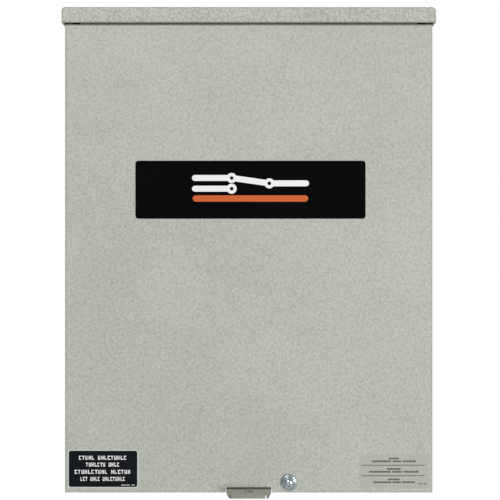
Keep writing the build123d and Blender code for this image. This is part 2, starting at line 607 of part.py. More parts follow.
with BuildPart() as plunger_rod:
    yoke_z = ROTOR_Z + CRANK_LIFT
    rod_z(CORE_R, COIL_X, COIL_Y, around(yoke_z, ROD_HALF))
    chamfer(plunger_rod.edges().filter_by(GeomType.CIRCLE), length=1.2)
    block(YOKE_X, around(COIL_Y, 13), around(yoke_z, YOKE_TALL / 2))
    rod_z(CORE_R, COIL_X, COIL_Y, around(yoke_z, PIN_R + 0.5), mode=Mode.SUBTRACT)
    block(YOKE_X, (COIL_Y - 13, COIL_Y - 5.6), around(yoke_z, PIN_R + 0.5))
    block(YOKE_X, (COIL_Y + 5.6, COIL_Y + 13), around(yoke_z, PIN_R + 0.5))
    block(YOKE_X, around(COIL_Y, 5.6), around(yoke_z, PIN_R + 0.5), mode=Mode.SUBTRACT)

with BuildPart() as drive_crank:
    crank_pin = swung(ROTOR, CRANK_REACH, 0, ROTOR_TILT)
    with BuildSketch(Plane.YZ.offset(-102)):
        with Locations(ROTOR):
            Circle(11)
        with Locations(swung(ROTOR, CRANK_REACH / 2, 0, ROTOR_TILT)):
            Rectangle(CRANK_REACH, 11, rotation=-ROTOR_TILT)
        with Locations(crank_pin):
            Circle(5.5)
        with Locations(ROTOR):
            Circle(SHAFT_R, mode=Mode.SUBTRACT)
    extrude(amount=7)
    rod_x(PIN_R, (-118, -102), crank_pin[0], crank_pin[1])

# ---- Limit switches: an eccentric cam presses one plunger and frees the other ----
CAM_X = (63.0, 71.0)
PLUNGER_X = 67.0
PLUNGER_R = 2.0
CAM_AT = swung(ROTOR, CAM_ECCENTRIC, 0, ROTOR_TILT)
PLUNGER_Y = ROTOR_Y - CAM_ECCENTRIC * (1 + math.cos(math.radians(ROTOR_TILT))) / 2
UPPER_TIP = CAM_AT[1] + CAM_R + CAM_GAP
LOWER_TIP = CAM_AT[1] - CAM_R - CAM_GAP
SWITCH_X = (60.5, 76.0)
SWITCH_Y = (-88.0, -66.0)

with BuildPart() as limit_cam:
    rod_x(CAM_R, CAM_X, CAM_AT[0], CAM_AT[1])
    rod_x(SHAFT_R, CAM_X, ROTOR_Y, ROTOR_Z, mode=Mode.SUBTRACT)

with BuildPart() as limit_bracket:
    block((76, 78), (-92, PANEL_FRONT), (-132, -48))
    block((78, 90), (PANEL_FRONT - SHEET, PANEL_FRONT), (-132, -48))

with BuildPart() as limit_switches:
    for low, high, bore in ((-72, -50, (-72, -62)), (-130, -108, (-118, -108))):
        block(SWITCH_X, SWITCH_Y, (low, high))
        rod_z(PLUNGER_R + 0.15, PLUNGER_X, PLUNGER_Y, bore, mode=Mode.SUBTRACT)
    fillet(limit_switches.edges().filter_by(Axis.X), radius=1)

with BuildPart() as limit_plunger_upper:
    rod_z(PLUNGER_R, PLUNGER_X, PLUNGER_Y, (UPPER_TIP, -66))

with BuildPart() as limit_plunger_lower:
    rod_z(PLUNGER_R, PLUNGER_X, PLUNGER_Y, (-112, LOWER_TIP))

# ---- Manual transfer handle on the end of the rotor ----
GRIP_LENGTH = 11.0

with BuildPart() as manual_handle:
    with BuildSketch(Plane.YZ.offset(HANDLE_X[0])):
        with Locations(ROTOR):
            Circle(11)
        with Locations(swung(ROTOR, HANDLE_REACH / 2, 0, ROTOR_TILT)):
            Rectangle(HANDLE_REACH, 8, rotation=-ROTOR_TILT)
        with Locations(ROTOR):
            Circle(SHAFT_R, mode=Mode.SUBTRACT)
    extrude(amount=HANDLE_X[1] - HANDLE_X[0])

with BuildPart() as handle_grip:
    with BuildSketch(Plane.YZ.offset(sum(HANDLE_X) / 2 - 12)) as grip_section:
        with Locations(swung(ROTOR, HANDLE_REACH + GRIP_LENGTH / 2, 0, ROTOR_TILT)):
            Rectangle(GRIP_LENGTH, 13, rotation=-ROTOR_TILT)
        fillet(grip_section.vertices(), radius=3)
    extrude(amount=24)
    ends = handle_grip.faces().filter_by(Axis.X).edges()
    fillet(ends, radius=1.5)

# ---- Control board on its bracket, with a test push-button ----
BRACKET_FRONT = -102.0
BOARD = 1.6
STANDOFFS = [(x, z) for x in (98, 144) for z in (-144, -6)]

with BuildPart() as control_bracket:
    block(BOARD_X, (BRACKET_FRONT, BRACKET_FRONT + SHEET), BOARD_Z)
    for edge in (BOARD_X[0], BOARD_X[1] - SHEET):
        block((edge, edge + SHEET), (BRACKET_FRONT, PANEL_FRONT), BOARD_Z)
    for stand_x, stand_z in STANDOFFS:
        rod_y(3, stand_x, (BOARD_FRONT + BOARD, BRACKET_FRONT), stand_z)

with BuildPart() as control_board:
    block(BOARD_X, (BOARD_FRONT, BOARD_FRONT + BOARD), BOARD_Z)
    fillet(control_board.edges().filter_by(Axis.Y), radius=2)

RELAYS_Z = (-140, -116, -92)
CAPACITORS = ((141, -70), (141, -52), (126, -61))
HEADER_Z = (-14.0, -4.0)
WIRES_X = (100, 105, 110)

with BuildPart() as board_components:
    for relay_z in RELAYS_Z:
        block((97, 117), (BOARD_FRONT - 15, BOARD_FRONT), (relay_z + 4, relay_z + 20))
    for cap_x, cap_z in CAPACITORS:
        rod_y(6, cap_x, (BOARD_FRONT - 13, BOARD_FRONT), cap_z)
    block((124, 146), (BOARD_FRONT - 17, BOARD_FRONT), (-134, -106))
    block((99, 113), (BOARD_FRONT - 2.4, BOARD_FRONT), (-56, -42))
    block((96, 114), (BOARD_FRONT - 9, BOARD_FRONT), HEADER_Z)
    button_seat = (BOARD_FRONT - 6.4, BOARD_FRONT)
    block(around(BUTTON_X, 6), button_seat, around(BUTTON_Z, 6))
    rod_y(3.2, BUTTON_X, button_seat, BUTTON_Z, mode=Mode.SUBTRACT)

with BuildPart() as test_button:
    rod_y(4, BUTTON_X, (-137.5, BOARD_FRONT - 7.6), BUTTON_Z)
    fillet(test_button.faces().sort_by(Axis.Y)[0].edges(), radius=0.8)
    rod_y(3, BUTTON_X, (BOARD_FRONT - 7.6, BOARD_FRONT - 1.6), BUTTON_Z)

# ---- Sensing fuses and the control terminal strip ----
FUSES_X = (104, 120, 136)
FUSE_R = 5.2
FUSE_Y = -35.0
STRIP_X = (90.0, 150.0)
STRIP_PITCH = 8.5
STRIP_SCREWS = [STRIP_X[0] + 4.5 + n * STRIP_PITCH for n in range(7)]

with BuildPart() as fuse_block:
    block((92, 148), (-29, PANEL_FRONT), (102, 148))
    for fuse_x in FUSES_X:
        for clip_z in ((105, 111), (139, 145)):
            block(around(fuse_x, 7), (-37, -29), clip_z)
        rod_z(FUSE_R, fuse_x, FUSE_Y, (105, 145), mode=Mode.SUBTRACT)

with BuildPart() as fuses:
    for fuse_x in FUSES_X:
        rod_z(FUSE_R, fuse_x, FUSE_Y, (106, 144))

with BuildPart() as terminal_strip:
    block(STRIP_X, (-25, PANEL_FRONT), (62, 80))
    for n in range(8):
        barrier = STRIP_X[0] + n * STRIP_PITCH
        block((barrier, barrier + 0.5), (-31, -25), (62, 80))

# ---- Neutral bar on insulators and ground bar on spacers ----
NEUTRAL_X = (-128.0, -112.0)
NEUTRAL_Y = (-50.0, -38.0)
NEUTRAL_HOLES = [72 + n * 10.5 for n in range(12)]
GROUND_HOLES = [68 + n * 8.7 for n in range(7)]
GROUND_Y = (-27.0, -17.0)
GROUND_Z = (-190.0, -176.0)

with BuildPart() as neutral_bar:
    block(NEUTRAL_X, NEUTRAL_Y, (62, 198))
    for hole_z in NEUTRAL_HOLES:
        rod_x(3, NEUTRAL_X, sum(NEUTRAL_Y) / 2, hole_z, mode=Mode.SUBTRACT)

with BuildPart() as bar_insulators:
    for post_z in (82, 178):
        block((-127, -113), (NEUTRAL_Y[1], PANEL_FRONT), around(post_z, 7))

with BuildPart() as ground_bar:
    block((62, 126), GROUND_Y, GROUND_Z)
    for spacer_x in (72, 116):
        rod_y(4, spacer_x, (GROUND_Y[1], PANEL_FRONT), sum(GROUND_Z) / 2)
    for hole_x in GROUND_HOLES:
        rod_z(2.4, hole_x, sum(GROUND_Y) / 2, GROUND_Z, mode=Mode.SUBTRACT)

# ---- Every clamping screw in the lugs, the bars and the terminal strip ----
with BuildPart() as terminal_screws:
    for lug_x, lug_back, lug_low in LUGS:
        screw_y = (lug_back - LUG - 3, lug_back - LUG + 5)
        screw_z = lug_low + LUG_TALL / 2
        rod_y(LUG_SCREW_R, lug_x, screw_y, screw_z)
        hex_y(2.6, lug_x, (screw_y[0], screw_y[0] + 3), screw_z, mode=Mode.SUBTRACT)
    for hole_z in NEUTRAL_HOLES:
        rod_y(3.4, sum(NEUTRAL_X) / 2, (NEUTRAL_Y[0] - 3, NEUTRAL_Y[0]), hole_z)
        block(around(sum(NEUTRAL_X) / 2, 3.5), (NEUTRAL_Y[0] - 3, NEUTRAL_Y[0] - 2),
              around(hole_z, 0.5), mode=Mode.SUBTRACT)
    for hole_x in GROUND_HOLES:
        rod_y(3.0, hole_x, (GROUND_Y[0] - 3, GROUND_Y[0]), sum(GROUND_Z) / 2)
    for strip_x in STRIP_SCREWS:
        rod_y(2.8, strip_x, (-27.2, -25), 71)

# ---- Control wires, laced flat on the panel from the fuses to the board ----
WIRE_R = 1.3
WIRE_Y = -20.0

with BuildPart() as control_wires:
    for fuse_x in FUSES_X:
        rod_z(WIRE_R, fuse_x, WIRE_Y, (80, 102))
    for wire_x in WIRES_X:
        with BuildLine() as route:
            FilletPolyline(
                (wire_x, WIRE_Y, 62), (wire_x, WIRE_Y, 20),
                (wire_x, BOARD_FRONT - 4.5, 20), (wire_x, BOARD_FRONT - 4.5, HEADER_Z[1]),
                radius=8,
            )
        with BuildSketch(Plane.XY.offset(62)) as wire_section:
            with Locations((wire_x, WIRE_Y)):
                Circle(WIRE_R)
        sweep(wire_section.sketch, path=route.line)

# ---- Labels and files ----
pieces = {
    "enclosure_shell": enclosure_shell, "enclosure_bottom": enclosure_bottom,
    "enclosure_top": enclosure_top, "drip_cap": drip_cap, "hasp_plate": hasp_plate,
    "hasp_rivets": hasp_rivets, "cover_weld_nut": cover_weld_nut,
    "hinge_leaf_fixed": hinge_leaf_fixed, "hinge_pin": hinge_pin,
    "hinge_leaf_cover": hinge_leaf_cover, "front_cover": front_cover,
    "cover_gasket": cover_gasket, "nameplate": nameplate, "label_left": label_left,
    "label_right": label_right, "screw_retainer": screw_retainer,
    "captive_washer": captive_washer, "captive_screw": captive_screw,
    "subpanel": subpanel, "shield_posts": shield_posts, "panel_screws": panel_screws,
    "safety_shield": safety_shield, "breaker_bracket": breaker_bracket,
    "breaker_base": breaker_base, "breaker_cover": breaker_cover,
    "breaker_toggle": breaker_toggle, "utility_busbars": utility_busbars,
    "switch_base": switch_base, "side_frames": side_frames, "rotor_shaft": rotor_shaft,
    "rotor_insulators": rotor_insulators, "moving_contacts": moving_contacts,
    "utility_contacts": utility_contacts, "generator_contacts": generator_contacts,
    "load_jaws": load_jaws, "cable_lugs": cable_lugs, "arc_chutes": arc_chutes,
    "solenoid_frame": solenoid_frame, "solenoid_coils": solenoid_coils,
    "plunger_rod": plunger_rod, "drive_crank": drive_crank, "limit_cam": limit_cam,
    "limit_bracket": limit_bracket, "limit_switches": limit_switches,
    "limit_plunger_upper": limit_plunger_upper, "limit_plunger_lower": limit_plunger_lower,
    "manual_handle": manual_handle, "handle_grip": handle_grip,
    "control_bracket": control_bracket, "control_board": control_board,
    "board_components": board_components, "test_button": test_button,
    "fuse_block": fuse_block, "fuses": fuses, "terminal_strip": terminal_strip,
    "neutral_bar": neutral_bar, "bar_insulators": bar_insulators, "ground_bar": ground_bar,
    "terminal_screws": terminal_screws, "control_wires": control_wires,
}
os.makedirs("parts", exist_ok=True)
for name, piece in pieces.items():
    piece.part.label = name
    export_step(piece.part, f"parts/{name}.step")
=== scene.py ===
import bpy
import bmesh
import numpy as np
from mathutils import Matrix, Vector


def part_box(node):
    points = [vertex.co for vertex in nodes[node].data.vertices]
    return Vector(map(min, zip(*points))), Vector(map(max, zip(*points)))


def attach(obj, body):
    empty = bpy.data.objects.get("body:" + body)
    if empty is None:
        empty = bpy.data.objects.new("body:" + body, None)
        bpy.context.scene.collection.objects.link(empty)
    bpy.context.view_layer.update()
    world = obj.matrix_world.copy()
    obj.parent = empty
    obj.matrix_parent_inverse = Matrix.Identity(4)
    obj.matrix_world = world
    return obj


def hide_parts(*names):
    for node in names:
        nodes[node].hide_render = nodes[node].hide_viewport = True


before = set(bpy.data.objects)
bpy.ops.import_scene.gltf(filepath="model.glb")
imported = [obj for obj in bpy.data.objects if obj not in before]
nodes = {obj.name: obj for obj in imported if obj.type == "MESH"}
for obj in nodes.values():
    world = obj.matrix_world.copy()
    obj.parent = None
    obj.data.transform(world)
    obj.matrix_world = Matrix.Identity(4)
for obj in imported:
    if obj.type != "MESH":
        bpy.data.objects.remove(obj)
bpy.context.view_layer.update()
MM = 0.001

# ---- Box, floor panel, top panel, front cover and drip cap -----------------------------
# All are 2 mm sheet steel, folded and sprayed with one grey-beige polyester powder. The
# powder bakes to a satin skin of fine rounded pebbles, coarser on the cap, which was
# sprayed heavier. The pebbles are drawn a little larger than life so that they show. Their
# colour is painted lighter on the crests and darker between them, a painted light and
# shade of the relief, stronger on the cap.
COAT_DARK = "#ACAFA4"
COAT_LIGHT = "#CACDC2"
COAT_PEBBLE_MM = 2.6
COAT_FINE_MM = 1.1
COAT_CLOUD_MM = 70
COAT_GLOSS = (0.36, 0.54)
MID_HEIGHT = 0.30
COAT_HEIGHT_MM = 0.10
CAP_HEIGHT_MM = 0.25
# COAT_SPAN and CAP_SPAN set how strongly the painted relief shade shows. The cap's is twice as
# strong.
COAT_SPAN = 1.0
CAP_SPAN = 0.5


def linear(hex_colour):
    """An sRGB hex colour as linear red, green, blue and full alpha."""
    value = np.array([int(hex_colour[i:i + 2], 16) for i in (1, 3, 5)]) / 255
    curve = np.where(value <= 0.04045, value / 12.92, ((value + 0.055) / 1.055) ** 2.4)
    return (*curve.tolist(), 1.0)


def per_mm(size):
    """The texture scale, on coordinates in metres, of a pattern this many mm across."""
    return 1.0 / (size * MM)


def add(tree, kind, settings, inputs):
    """Adds one node, sets its properties, and links or sets each of its inputs."""
    made = tree.nodes.new(kind)
    for key, value in settings.items():
        setattr(made, key, value)
    for key, value in inputs.items():
        if isinstance(value, bpy.types.NodeSocket):
            tree.links.new(value, made.inputs[key])
        else:
            made.inputs[key].default_value = value
    return made


def start(name, **sockets):
    """A new material: itself, its node tree, its shader and the object's coordinates."""
    material = bpy.data.materials.new(name)
    material.use_nodes = True
    tree = material.node_tree
    shader = tree.nodes["Principled BSDF"]
    for key, value in sockets.items():
        shader.inputs[key.replace("_", " ")].default_value = value
    place = add(tree, "ShaderNodeTexCoord", {}, {}).outputs["Object"]
    return material, tree, shader, place


def surface(tree, shader, colour, gloss, relief):
    """Links the colour, the roughness and the relief to the shader."""
    tree.links.new(colour, shader.inputs["Base Color"])
    tree.links.new(gloss, shader.inputs["Roughness"])
    tree.links.new(relief, shader.inputs["Normal"])


def powder_coat(name, height_mm, tone_span):
    """Pebbled powder: rounded cells under finer noise, over a slow random drift of tone. The
    colour is painted lighter on the crests and darker in the hollows, a painted light and
    shade of the relief. A short tone_span takes less height to go from the dark tone to
    the light one."""
    material, tree, shader, place = start(name, Specular_IOR_Level=0.45)
    cells = add(tree, "ShaderNodeTexVoronoi", {"feature": "SMOOTH_F1"},
                {"Vector": place, "Scale": per_mm(COAT_PEBBLE_MM), "Smoothness": 0.6})
    fine = add(tree, "ShaderNodeTexNoise", {},
               {"Vector": place, "Scale": per_mm(COAT_FINE_MM), "Detail": 2.0})
    height = add(tree, "ShaderNodeMath", {"operation": "SUBTRACT"},
                 {0: fine.outputs["Fac"], 1: cells.outputs["Distance"]})
    cloud = add(tree, "ShaderNodeTexNoise", {},
                {"Vector": place, "Scale": per_mm(COAT_CLOUD_MM), "Detail": 3.0})
    drift_and_relief_shade = add(tree, "ShaderNodeMath", {"operation": "MULTIPLY_ADD"},
                {0: cloud.outputs["Fac"], 1: 0.5, 2: height.outputs[0]})
    # Painted light and shade: the relief's height, plus the random drift, picks the colour, so
    # crests come out lighter and hollows darker.
    tone = add(tree, "ShaderNodeMapRange", {},
               {"Value": drift_and_relief_shade.outputs[0], "From Min": MID_HEIGHT - tone_span / 2,
                "From Max": MID_HEIGHT + tone_span / 2})
    colour = add(tree, "ShaderNodeMix", {"data_type": "RGBA"},
                 {0: tone.outputs[0], 6: linear(COAT_DARK), 7: linear(COAT_LIGHT)})
    gloss = add(tree, "ShaderNodeMapRange", {},
                {"Value": fine.outputs["Fac"], "To Min": COAT_GLOSS[0], "To Max": COAT_GLOSS[1]})
    bump = add(tree, "ShaderNodeBump", {},
               {"Height": height.outputs[0], "Distance": height_mm * MM, "Strength": 1.0})
    surface(tree, shader, colour.outputs[2], gloss.outputs[0], bump.outputs[0])
    return material


def dress(material, *names):
    """Gives CAD nodes one material."""
    for name in names:
        slots = nodes[name].data.materials
        slots.clear()
        slots.append(material)


dress(powder_coat("powder coat on sheet steel", COAT_HEIGHT_MM, COAT_SPAN),
      "enclosure_shell", "enclosure_bottom", "enclosure_top", "front_cover")
dress(powder_coat("powder coat on the cap", CAP_HEIGHT_MM, CAP_SPAN), "drip_cap")

# ---- Hasp: a thick tab under the floor, held by two domed rivets -----------------------
# The tab is 3 mm steel, blanked, drilled for a padlock and barrel plated dull. The
# rivets are set from below, with a dome on each side. Plating dulls to a soft grey.


def metal(name, dark, light, patch_mm, gloss, grain_mm, height_mm, stretch=(1, 1, 1)):
    """Metal whose tone drifts over patches and whose gloss breaks up in a grain, which
    stretch draws out: a small factor along an axis makes long lines along it."""
    material, tree, shader, place = start(name, Metallic=1.0)
    patch = add(tree, "ShaderNodeTexVoronoi", {"feature": "F1"},
                {"Vector": place, "Scale": per_mm(patch_mm), "Randomness": 1.0})
    cloud = add(tree, "ShaderNodeTexNoise", {},
                {"Vector": place, "Scale": per_mm(patch_mm * 2), "Detail": 5.0})
    blend = add(tree, "ShaderNodeMix", {"data_type": "FLOAT"},
                {0: 0.6, 2: patch.outputs["Color"], 3: cloud.outputs["Fac"]})
    drawn = add(tree, "ShaderNodeMapping", {}, {"Vector": place, "Scale": stretch})
    grain = add(tree, "ShaderNodeTexNoise", {},
                {"Vector": drawn.outputs[0], "Scale": per_mm(grain_mm), "Detail": 3.0})
    colour = add(tree, "ShaderNodeMix", {"data_type": "RGBA"},
                 {0: blend.outputs[0], 6: linear(dark), 7: linear(light)})
    polish = add(tree, "ShaderNodeMapRange", {},
                 {"Value": grain.outputs["Fac"], "To Min": gloss[0], "To Max": gloss[1]})
    bump = add(tree, "ShaderNodeBump", {},
               {"Height": grain.outputs["Fac"], "Distance": height_mm * MM})
    surface(tree, shader, colour.outputs[2], polish.outputs[0], bump.outputs[0])
    return material


SMOOTH_DEGREES = 38


def skin(name, shells, material, body, loop=False, smooth=True):
    """One piece of closed surfaces, each over a stack of rings in mm: point n of a ring
    joins point n of the next. A loop joins its last ring to its first, as round a hole;
    otherwise the two end rings are filled with flat faces."""
    points, faces, base = [], [], 0
    for rings in shells:
        rings = np.asarray(rings, dtype=float)
        count, around = rings.shape[:2]
        steps = np.arange(count if loop else count - 1)[:, None]
        low, high = base + steps * around, base + (steps + 1) % count * around
        here = np.arange(around)[None, :]
        ahead = (here + 1) % around
        quads = np.stack([low + here, low + ahead, high + ahead, high + here], axis=-1)
        faces += quads.reshape(-1, 4).tolist()
        if not loop:
            faces += [list(range(base + end, base + end + around))
                      for end in (0, (count - 1) * around)]
        points.append(rings.reshape(-1, 3))
        base += count * around
    mesh = bpy.data.meshes.new(name)
    mesh.from_pydata((np.vstack(points) * MM).tolist(), [], faces)
    shaped = bmesh.new()
    shaped.from_mesh(mesh)
    bmesh.ops.recalc_face_normals(shaped, faces=shaped.faces)
    shaped.to_mesh(mesh)
    shaped.free()
    mesh.set_sharp_from_angle(angle=np.radians(SMOOTH_DEGREES))
    mesh.polygons.foreach_set("use_smooth", [smooth and face.loop_total == 4
                                             for face in mesh.polygons])
    mesh.materials.append(material)
    piece = bpy.data.objects.new(name, mesh)
    bpy.context.scene.collection.objects.link(piece)
    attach(piece, body)
    return piece


def turned(profile, centre, axis, steps=40):
    """The rings of a turned shape: each (radius, along) pair swung round an axis, which is
    0, 1 or 2 for X, Y or Z. centre has a zero along that axis."""
    turn = np.linspace(0, 2 * np.pi, steps, endpoint=False)
    radius, along = np.asarray(profile, dtype=float).T[:, :, None]
    sides = [radius * np.cos(turn), radius * np.sin(turn)]
    sides.insert(axis, along + 0 * turn)
    return np.stack(sides, axis=-1) + np.asarray(centre, dtype=float)


def limits(node):
    """A CAD node's (low, high) limits along X, Y and Z, in mm."""
    low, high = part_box(node)
    return [(low[i] / MM, high[i] / MM) for i in range(3)]


def middle(span):
    """Halfway between two limits."""
    return (span[0] + span[1]) / 2


zinc = metal("bright zinc plate", "#A9B4BA", "#E2ECF0", 5, (0.18, 0.34), 0.6, 0.01)
dress(metal("dull plated hasp steel", "#A9ABA2", "#D2D4CA", 4, (0.24, 0.38), 0.9, 0.03),
      "hasp_plate")
RIVET_HEAD = 1.2
RIVET_R = 4.0
rivet_x, rivet_y, rivet_z = limits("hasp_rivets")
dome = [(0.05, 0.0), (1.3, 0.04), (2.4, 0.2), (3.3, 0.55), (3.85, 1.0), (RIVET_R, RIVET_HEAD)]
shank = [(2.0, RIVET_HEAD)]
rivet = [(r, rivet_z[0] + h) for r, h in dome + shank]
rivet += [(r, rivet_z[1] - h) for r, h in reversed(dome + shank)]
rivets = skin("hasp_rivets_domed",
              [turned(rivet, (x, middle(rivet_y), 0), 2, 32)
               for x in (rivet_x[0] + RIVET_R, rivet_x[1] - RIVET_R)],
              zinc, "enclosure")
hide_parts("hasp_rivets")

# ---- Hinge, subpanel, brackets and their fasteners -------------------------------------
# The continuous hinge, the subpanel and the brackets are galvanised sheet, which shows
# dull crystal patches. The bolts, nuts and frames are bright zinc, faintly blue, and
# the pin and posts are drawn steel with a fine grain along their length.
galvanised = metal("galvanised sheet", "#8F9292", "#C6C9C8", 8, (0.34, 0.52), 0.8, 0.02)
drawn_steel = metal("drawn steel rod", "#77787A", "#A8A9AB", 6, (0.22, 0.40), 0.5, 0.01,
                    (1, 0.05, 1))
dress(galvanised, "hinge_leaf_fixed", "hinge_leaf_cover", "subpanel", "breaker_bracket",
      "control_bracket")
dress(zinc, "cover_weld_nut", "panel_screws", "side_frames", "solenoid_frame",
      "limit_bracket")
dress(drawn_steel, "hinge_pin", "shield_posts")

# ---- Main breaker: moulded case, toggle and its two marks ------------------------------
# The case is black thermoset, matt with a fine stipple from the tool. The toggle is a
# cream nylon moulding. A bar and a ring are pad printed for on and off.


def moulded(name, dark, light, gloss, grain_mm, height_mm, coat=0.0, specular=0.5):
    """Moulded plastic: slow drift of tone, fine stipple in the gloss and the relief."""
    material, tree, shader, place = start(name, Coat_Weight=coat, Coat_Roughness=0.12,
                                          Specular_IOR_Level=specular)
    cloud = add(tree, "ShaderNodeTexNoise", {},
                {"Vector": place, "Scale": per_mm(30), "Detail": 4.0})
    grain = add(tree, "ShaderNodeTexNoise", {},
                {"Vector": place, "Scale": per_mm(grain_mm), "Detail": 2.0})
    colour = add(tree, "ShaderNodeMix", {"data_type": "RGBA"},
                 {0: cloud.outputs["Fac"], 6: linear(dark), 7: linear(light)})
    polish = add(tree, "ShaderNodeMapRange", {},
                 {"Value": grain.outputs["Fac"], "To Min": gloss[0], "To Max": gloss[1]})
    bump = add(tree, "ShaderNodeBump", {},
               {"Height": grain.outputs["Fac"], "Distance": height_mm * MM})
    surface(tree, shader, colour.outputs[2], polish.outputs[0], bump.outputs[0])
    return material


PRINT = 0.04
ink_white = moulded("white screen ink", "#F4F5F4", "#FDFDFC", (0.45, 0.58), 0.6, 0.01)


def stroke(name, start_at, end_at, width, front, ink, body):
    """A round-ended printed line between two (x, z) points, as a thin closed slab: its
    outline is a half circle about each end, swept from the surface to the ink's face."""
    a, b = np.array(start_at, float), np.array(end_at, float)
    along = (b - a) / max(np.linalg.norm(b - a), 1e-6)
    across = np.array([-along[1], along[0]])
    turn = np.linspace(-np.pi / 2, np.pi / 2, 9)
    arc = np.outer(np.cos(turn), along) + np.outer(np.sin(turn), across)
    outline = np.vstack([b + width / 2 * arc, a - width / 2 * arc])
    rings = [np.insert(outline, 1, y, axis=1) for y in (front, front - PRINT)]
    return skin(name, [rings], ink, body, smooth=False)


def ring_print(name, centre, outer, inner, front, ink, body, slot):
    """A printed ring: a thin rectangular section turned about its centre."""
    section = [(outer, front), (outer, front - PRINT), (inner, front - PRINT), (inner, front)]
    rings = turned(section, (centre[0], 0, centre[1]), 1, 32)
    return skin(name, [rings], ink, body, loop=True, smooth=False)


black = moulded("black thermoset moulding", "#17181A", "#242528", (0.42, 0.60), 0.7, 0.03)
cream = moulded("cream nylon moulding", "#D6D2C4", "#E6E3D7", (0.34, 0.48), 0.8, 0.02)
dress(black, "breaker_base", "breaker_cover")
dress(cream, "breaker_toggle")
breaker_x, breaker_y, breaker_z = limits("breaker_cover")
MARK_RISE = 21.5
MARK_HALF = 2.6
MARK_LINE = 1.2
MARK_RING = (3.0, 2.0)
mark_x, mark_z = middle(breaker_x), middle(breaker_z)
stroke("breaker_mark_on", (mark_x, mark_z + MARK_RISE - MARK_HALF),
       (mark_x, mark_z + MARK_RISE + MARK_HALF), MARK_LINE, breaker_y[0], ink_white,
       "enclosure")
ring_print("breaker_mark_off", (mark_x, mark_z - MARK_RISE), *MARK_RING, breaker_y[0],
           ink_white, "enclosure", "moulded_black")

# ---- Copper bars and contacts ----------------------------------------------------------
# The bars are sheared and bent from hard copper strip, rolled along their length and a
# little browned. The contact faces are brazed silver pads: the pad end of each swinging
# arm, and the fixed pads where the arms land.
silver_dark, silver_light = "#B9B6AE", "#E4E2DA"
ARM_TILT = np.radians(25)
PAD_FROM_MM = 34.2
PAD_SPREAD_MM = 8.2
PAD_REACH = 38.5
PAD_SHIFT = 8.0


def copper(name, pad=None):
    """Rolled copper, turned silver where the function pad(tree, place) gives 1."""
    material, tree, shader, place = start(name, Metallic=1.0)
    rolled = add(tree, "ShaderNodeMapping", {}, {"Vector": place, "Scale": (1, 1, 0.06)})
    lines = add(tree, "ShaderNodeTexNoise", {},
                {"Vector": rolled.outputs[0], "Scale": per_mm(0.8), "Detail": 4.0})
    brown = add(tree, "ShaderNodeTexNoise", {},
                {"Vector": place, "Scale": per_mm(16), "Detail": 6.0, "Roughness": 0.65})
    spread = add(tree, "ShaderNodeMapRange", {},
                 {"Value": brown.outputs["Fac"], "From Min": 0.35, "From Max": 0.70})
    metal_tone = add(tree, "ShaderNodeMix", {"data_type": "RGBA"},
                     {0: spread.outputs[0], 6: linear("#C98A69"), 7: linear("#85503B")})
    pad_tone = add(tree, "ShaderNodeMix", {"data_type": "RGBA"},
                   {0: lines.outputs["Fac"], 6: linear(silver_dark), 7: linear(silver_light)})
    colour = add(tree, "ShaderNodeMix", {"data_type": "RGBA"},
                 {0: pad(tree, place) if pad else 0.0, 6: metal_tone.outputs[2],
                  7: pad_tone.outputs[2]})
    gloss = add(tree, "ShaderNodeMapRange", {},
                {"Value": lines.outputs["Fac"], "To Min": 0.22, "To Max": 0.48})
    bump = add(tree, "ShaderNodeBump", {},
               {"Height": lines.outputs["Fac"], "Distance": 0.03 * MM})
    surface(tree, shader, colour.outputs[2], gloss.outputs[0], bump.outputs[0])
    return material


_, shaft_y, shaft_z = limits("rotor_shaft")
rotor_at = np.array([0.0, middle(shaft_y), middle(shaft_z)])
arm_way = np.array([0.0, -np.cos(ARM_TILT), np.sin(ARM_TILT)])


def arm_end(tree, place):
    """1 beyond a reach along the arm: the dot product with the arm's own direction."""
    reach = add(tree, "ShaderNodeVectorMath", {"operation": "DOT_PRODUCT"},
                {0: place, 1: tuple(arm_way)})
    from_m = (float(rotor_at @ arm_way) + PAD_FROM_MM) * MM
    return add(tree, "ShaderNodeMath", {"operation": "GREATER_THAN"},
               {0: reach.outputs["Value"], 1: from_m}).outputs[0]


def near_line(y_mm, z_mm):
    """A mask that is 1 within a spread of a line along X."""
    def mask(tree, place):
        flat = add(tree, "ShaderNodeVectorMath", {"operation": "MULTIPLY"},
                   {0: place, 1: (0, 1, 1)})
        away = add(tree, "ShaderNodeVectorMath", {"operation": "DISTANCE"},
                   {0: flat.outputs[0], 1: (0, y_mm * MM, z_mm * MM)})
        return add(tree, "ShaderNodeMath", {"operation": "LESS_THAN"},
                   {0: away.outputs["Value"], 1: PAD_SPREAD_MM * MM}).outputs[0]
    return mask


arm_side = np.array([0.0, np.sin(ARM_TILT), np.cos(ARM_TILT)])
pad_at = rotor_at + PAD_REACH * arm_way + PAD_SHIFT * arm_side
dress(copper("copper strip"), "utility_busbars", "load_jaws")
dress(copper("copper arm with silver ends", arm_end), "moving_contacts")
dress(copper("copper riser with upper silver pads", near_line(pad_at[1], pad_at[2])),
      "utility_contacts")
dress(copper("copper riser with lower silver pads",
             near_line(pad_at[1], 2 * rotor_at[2] - pad_at[2])), "generator_contacts")

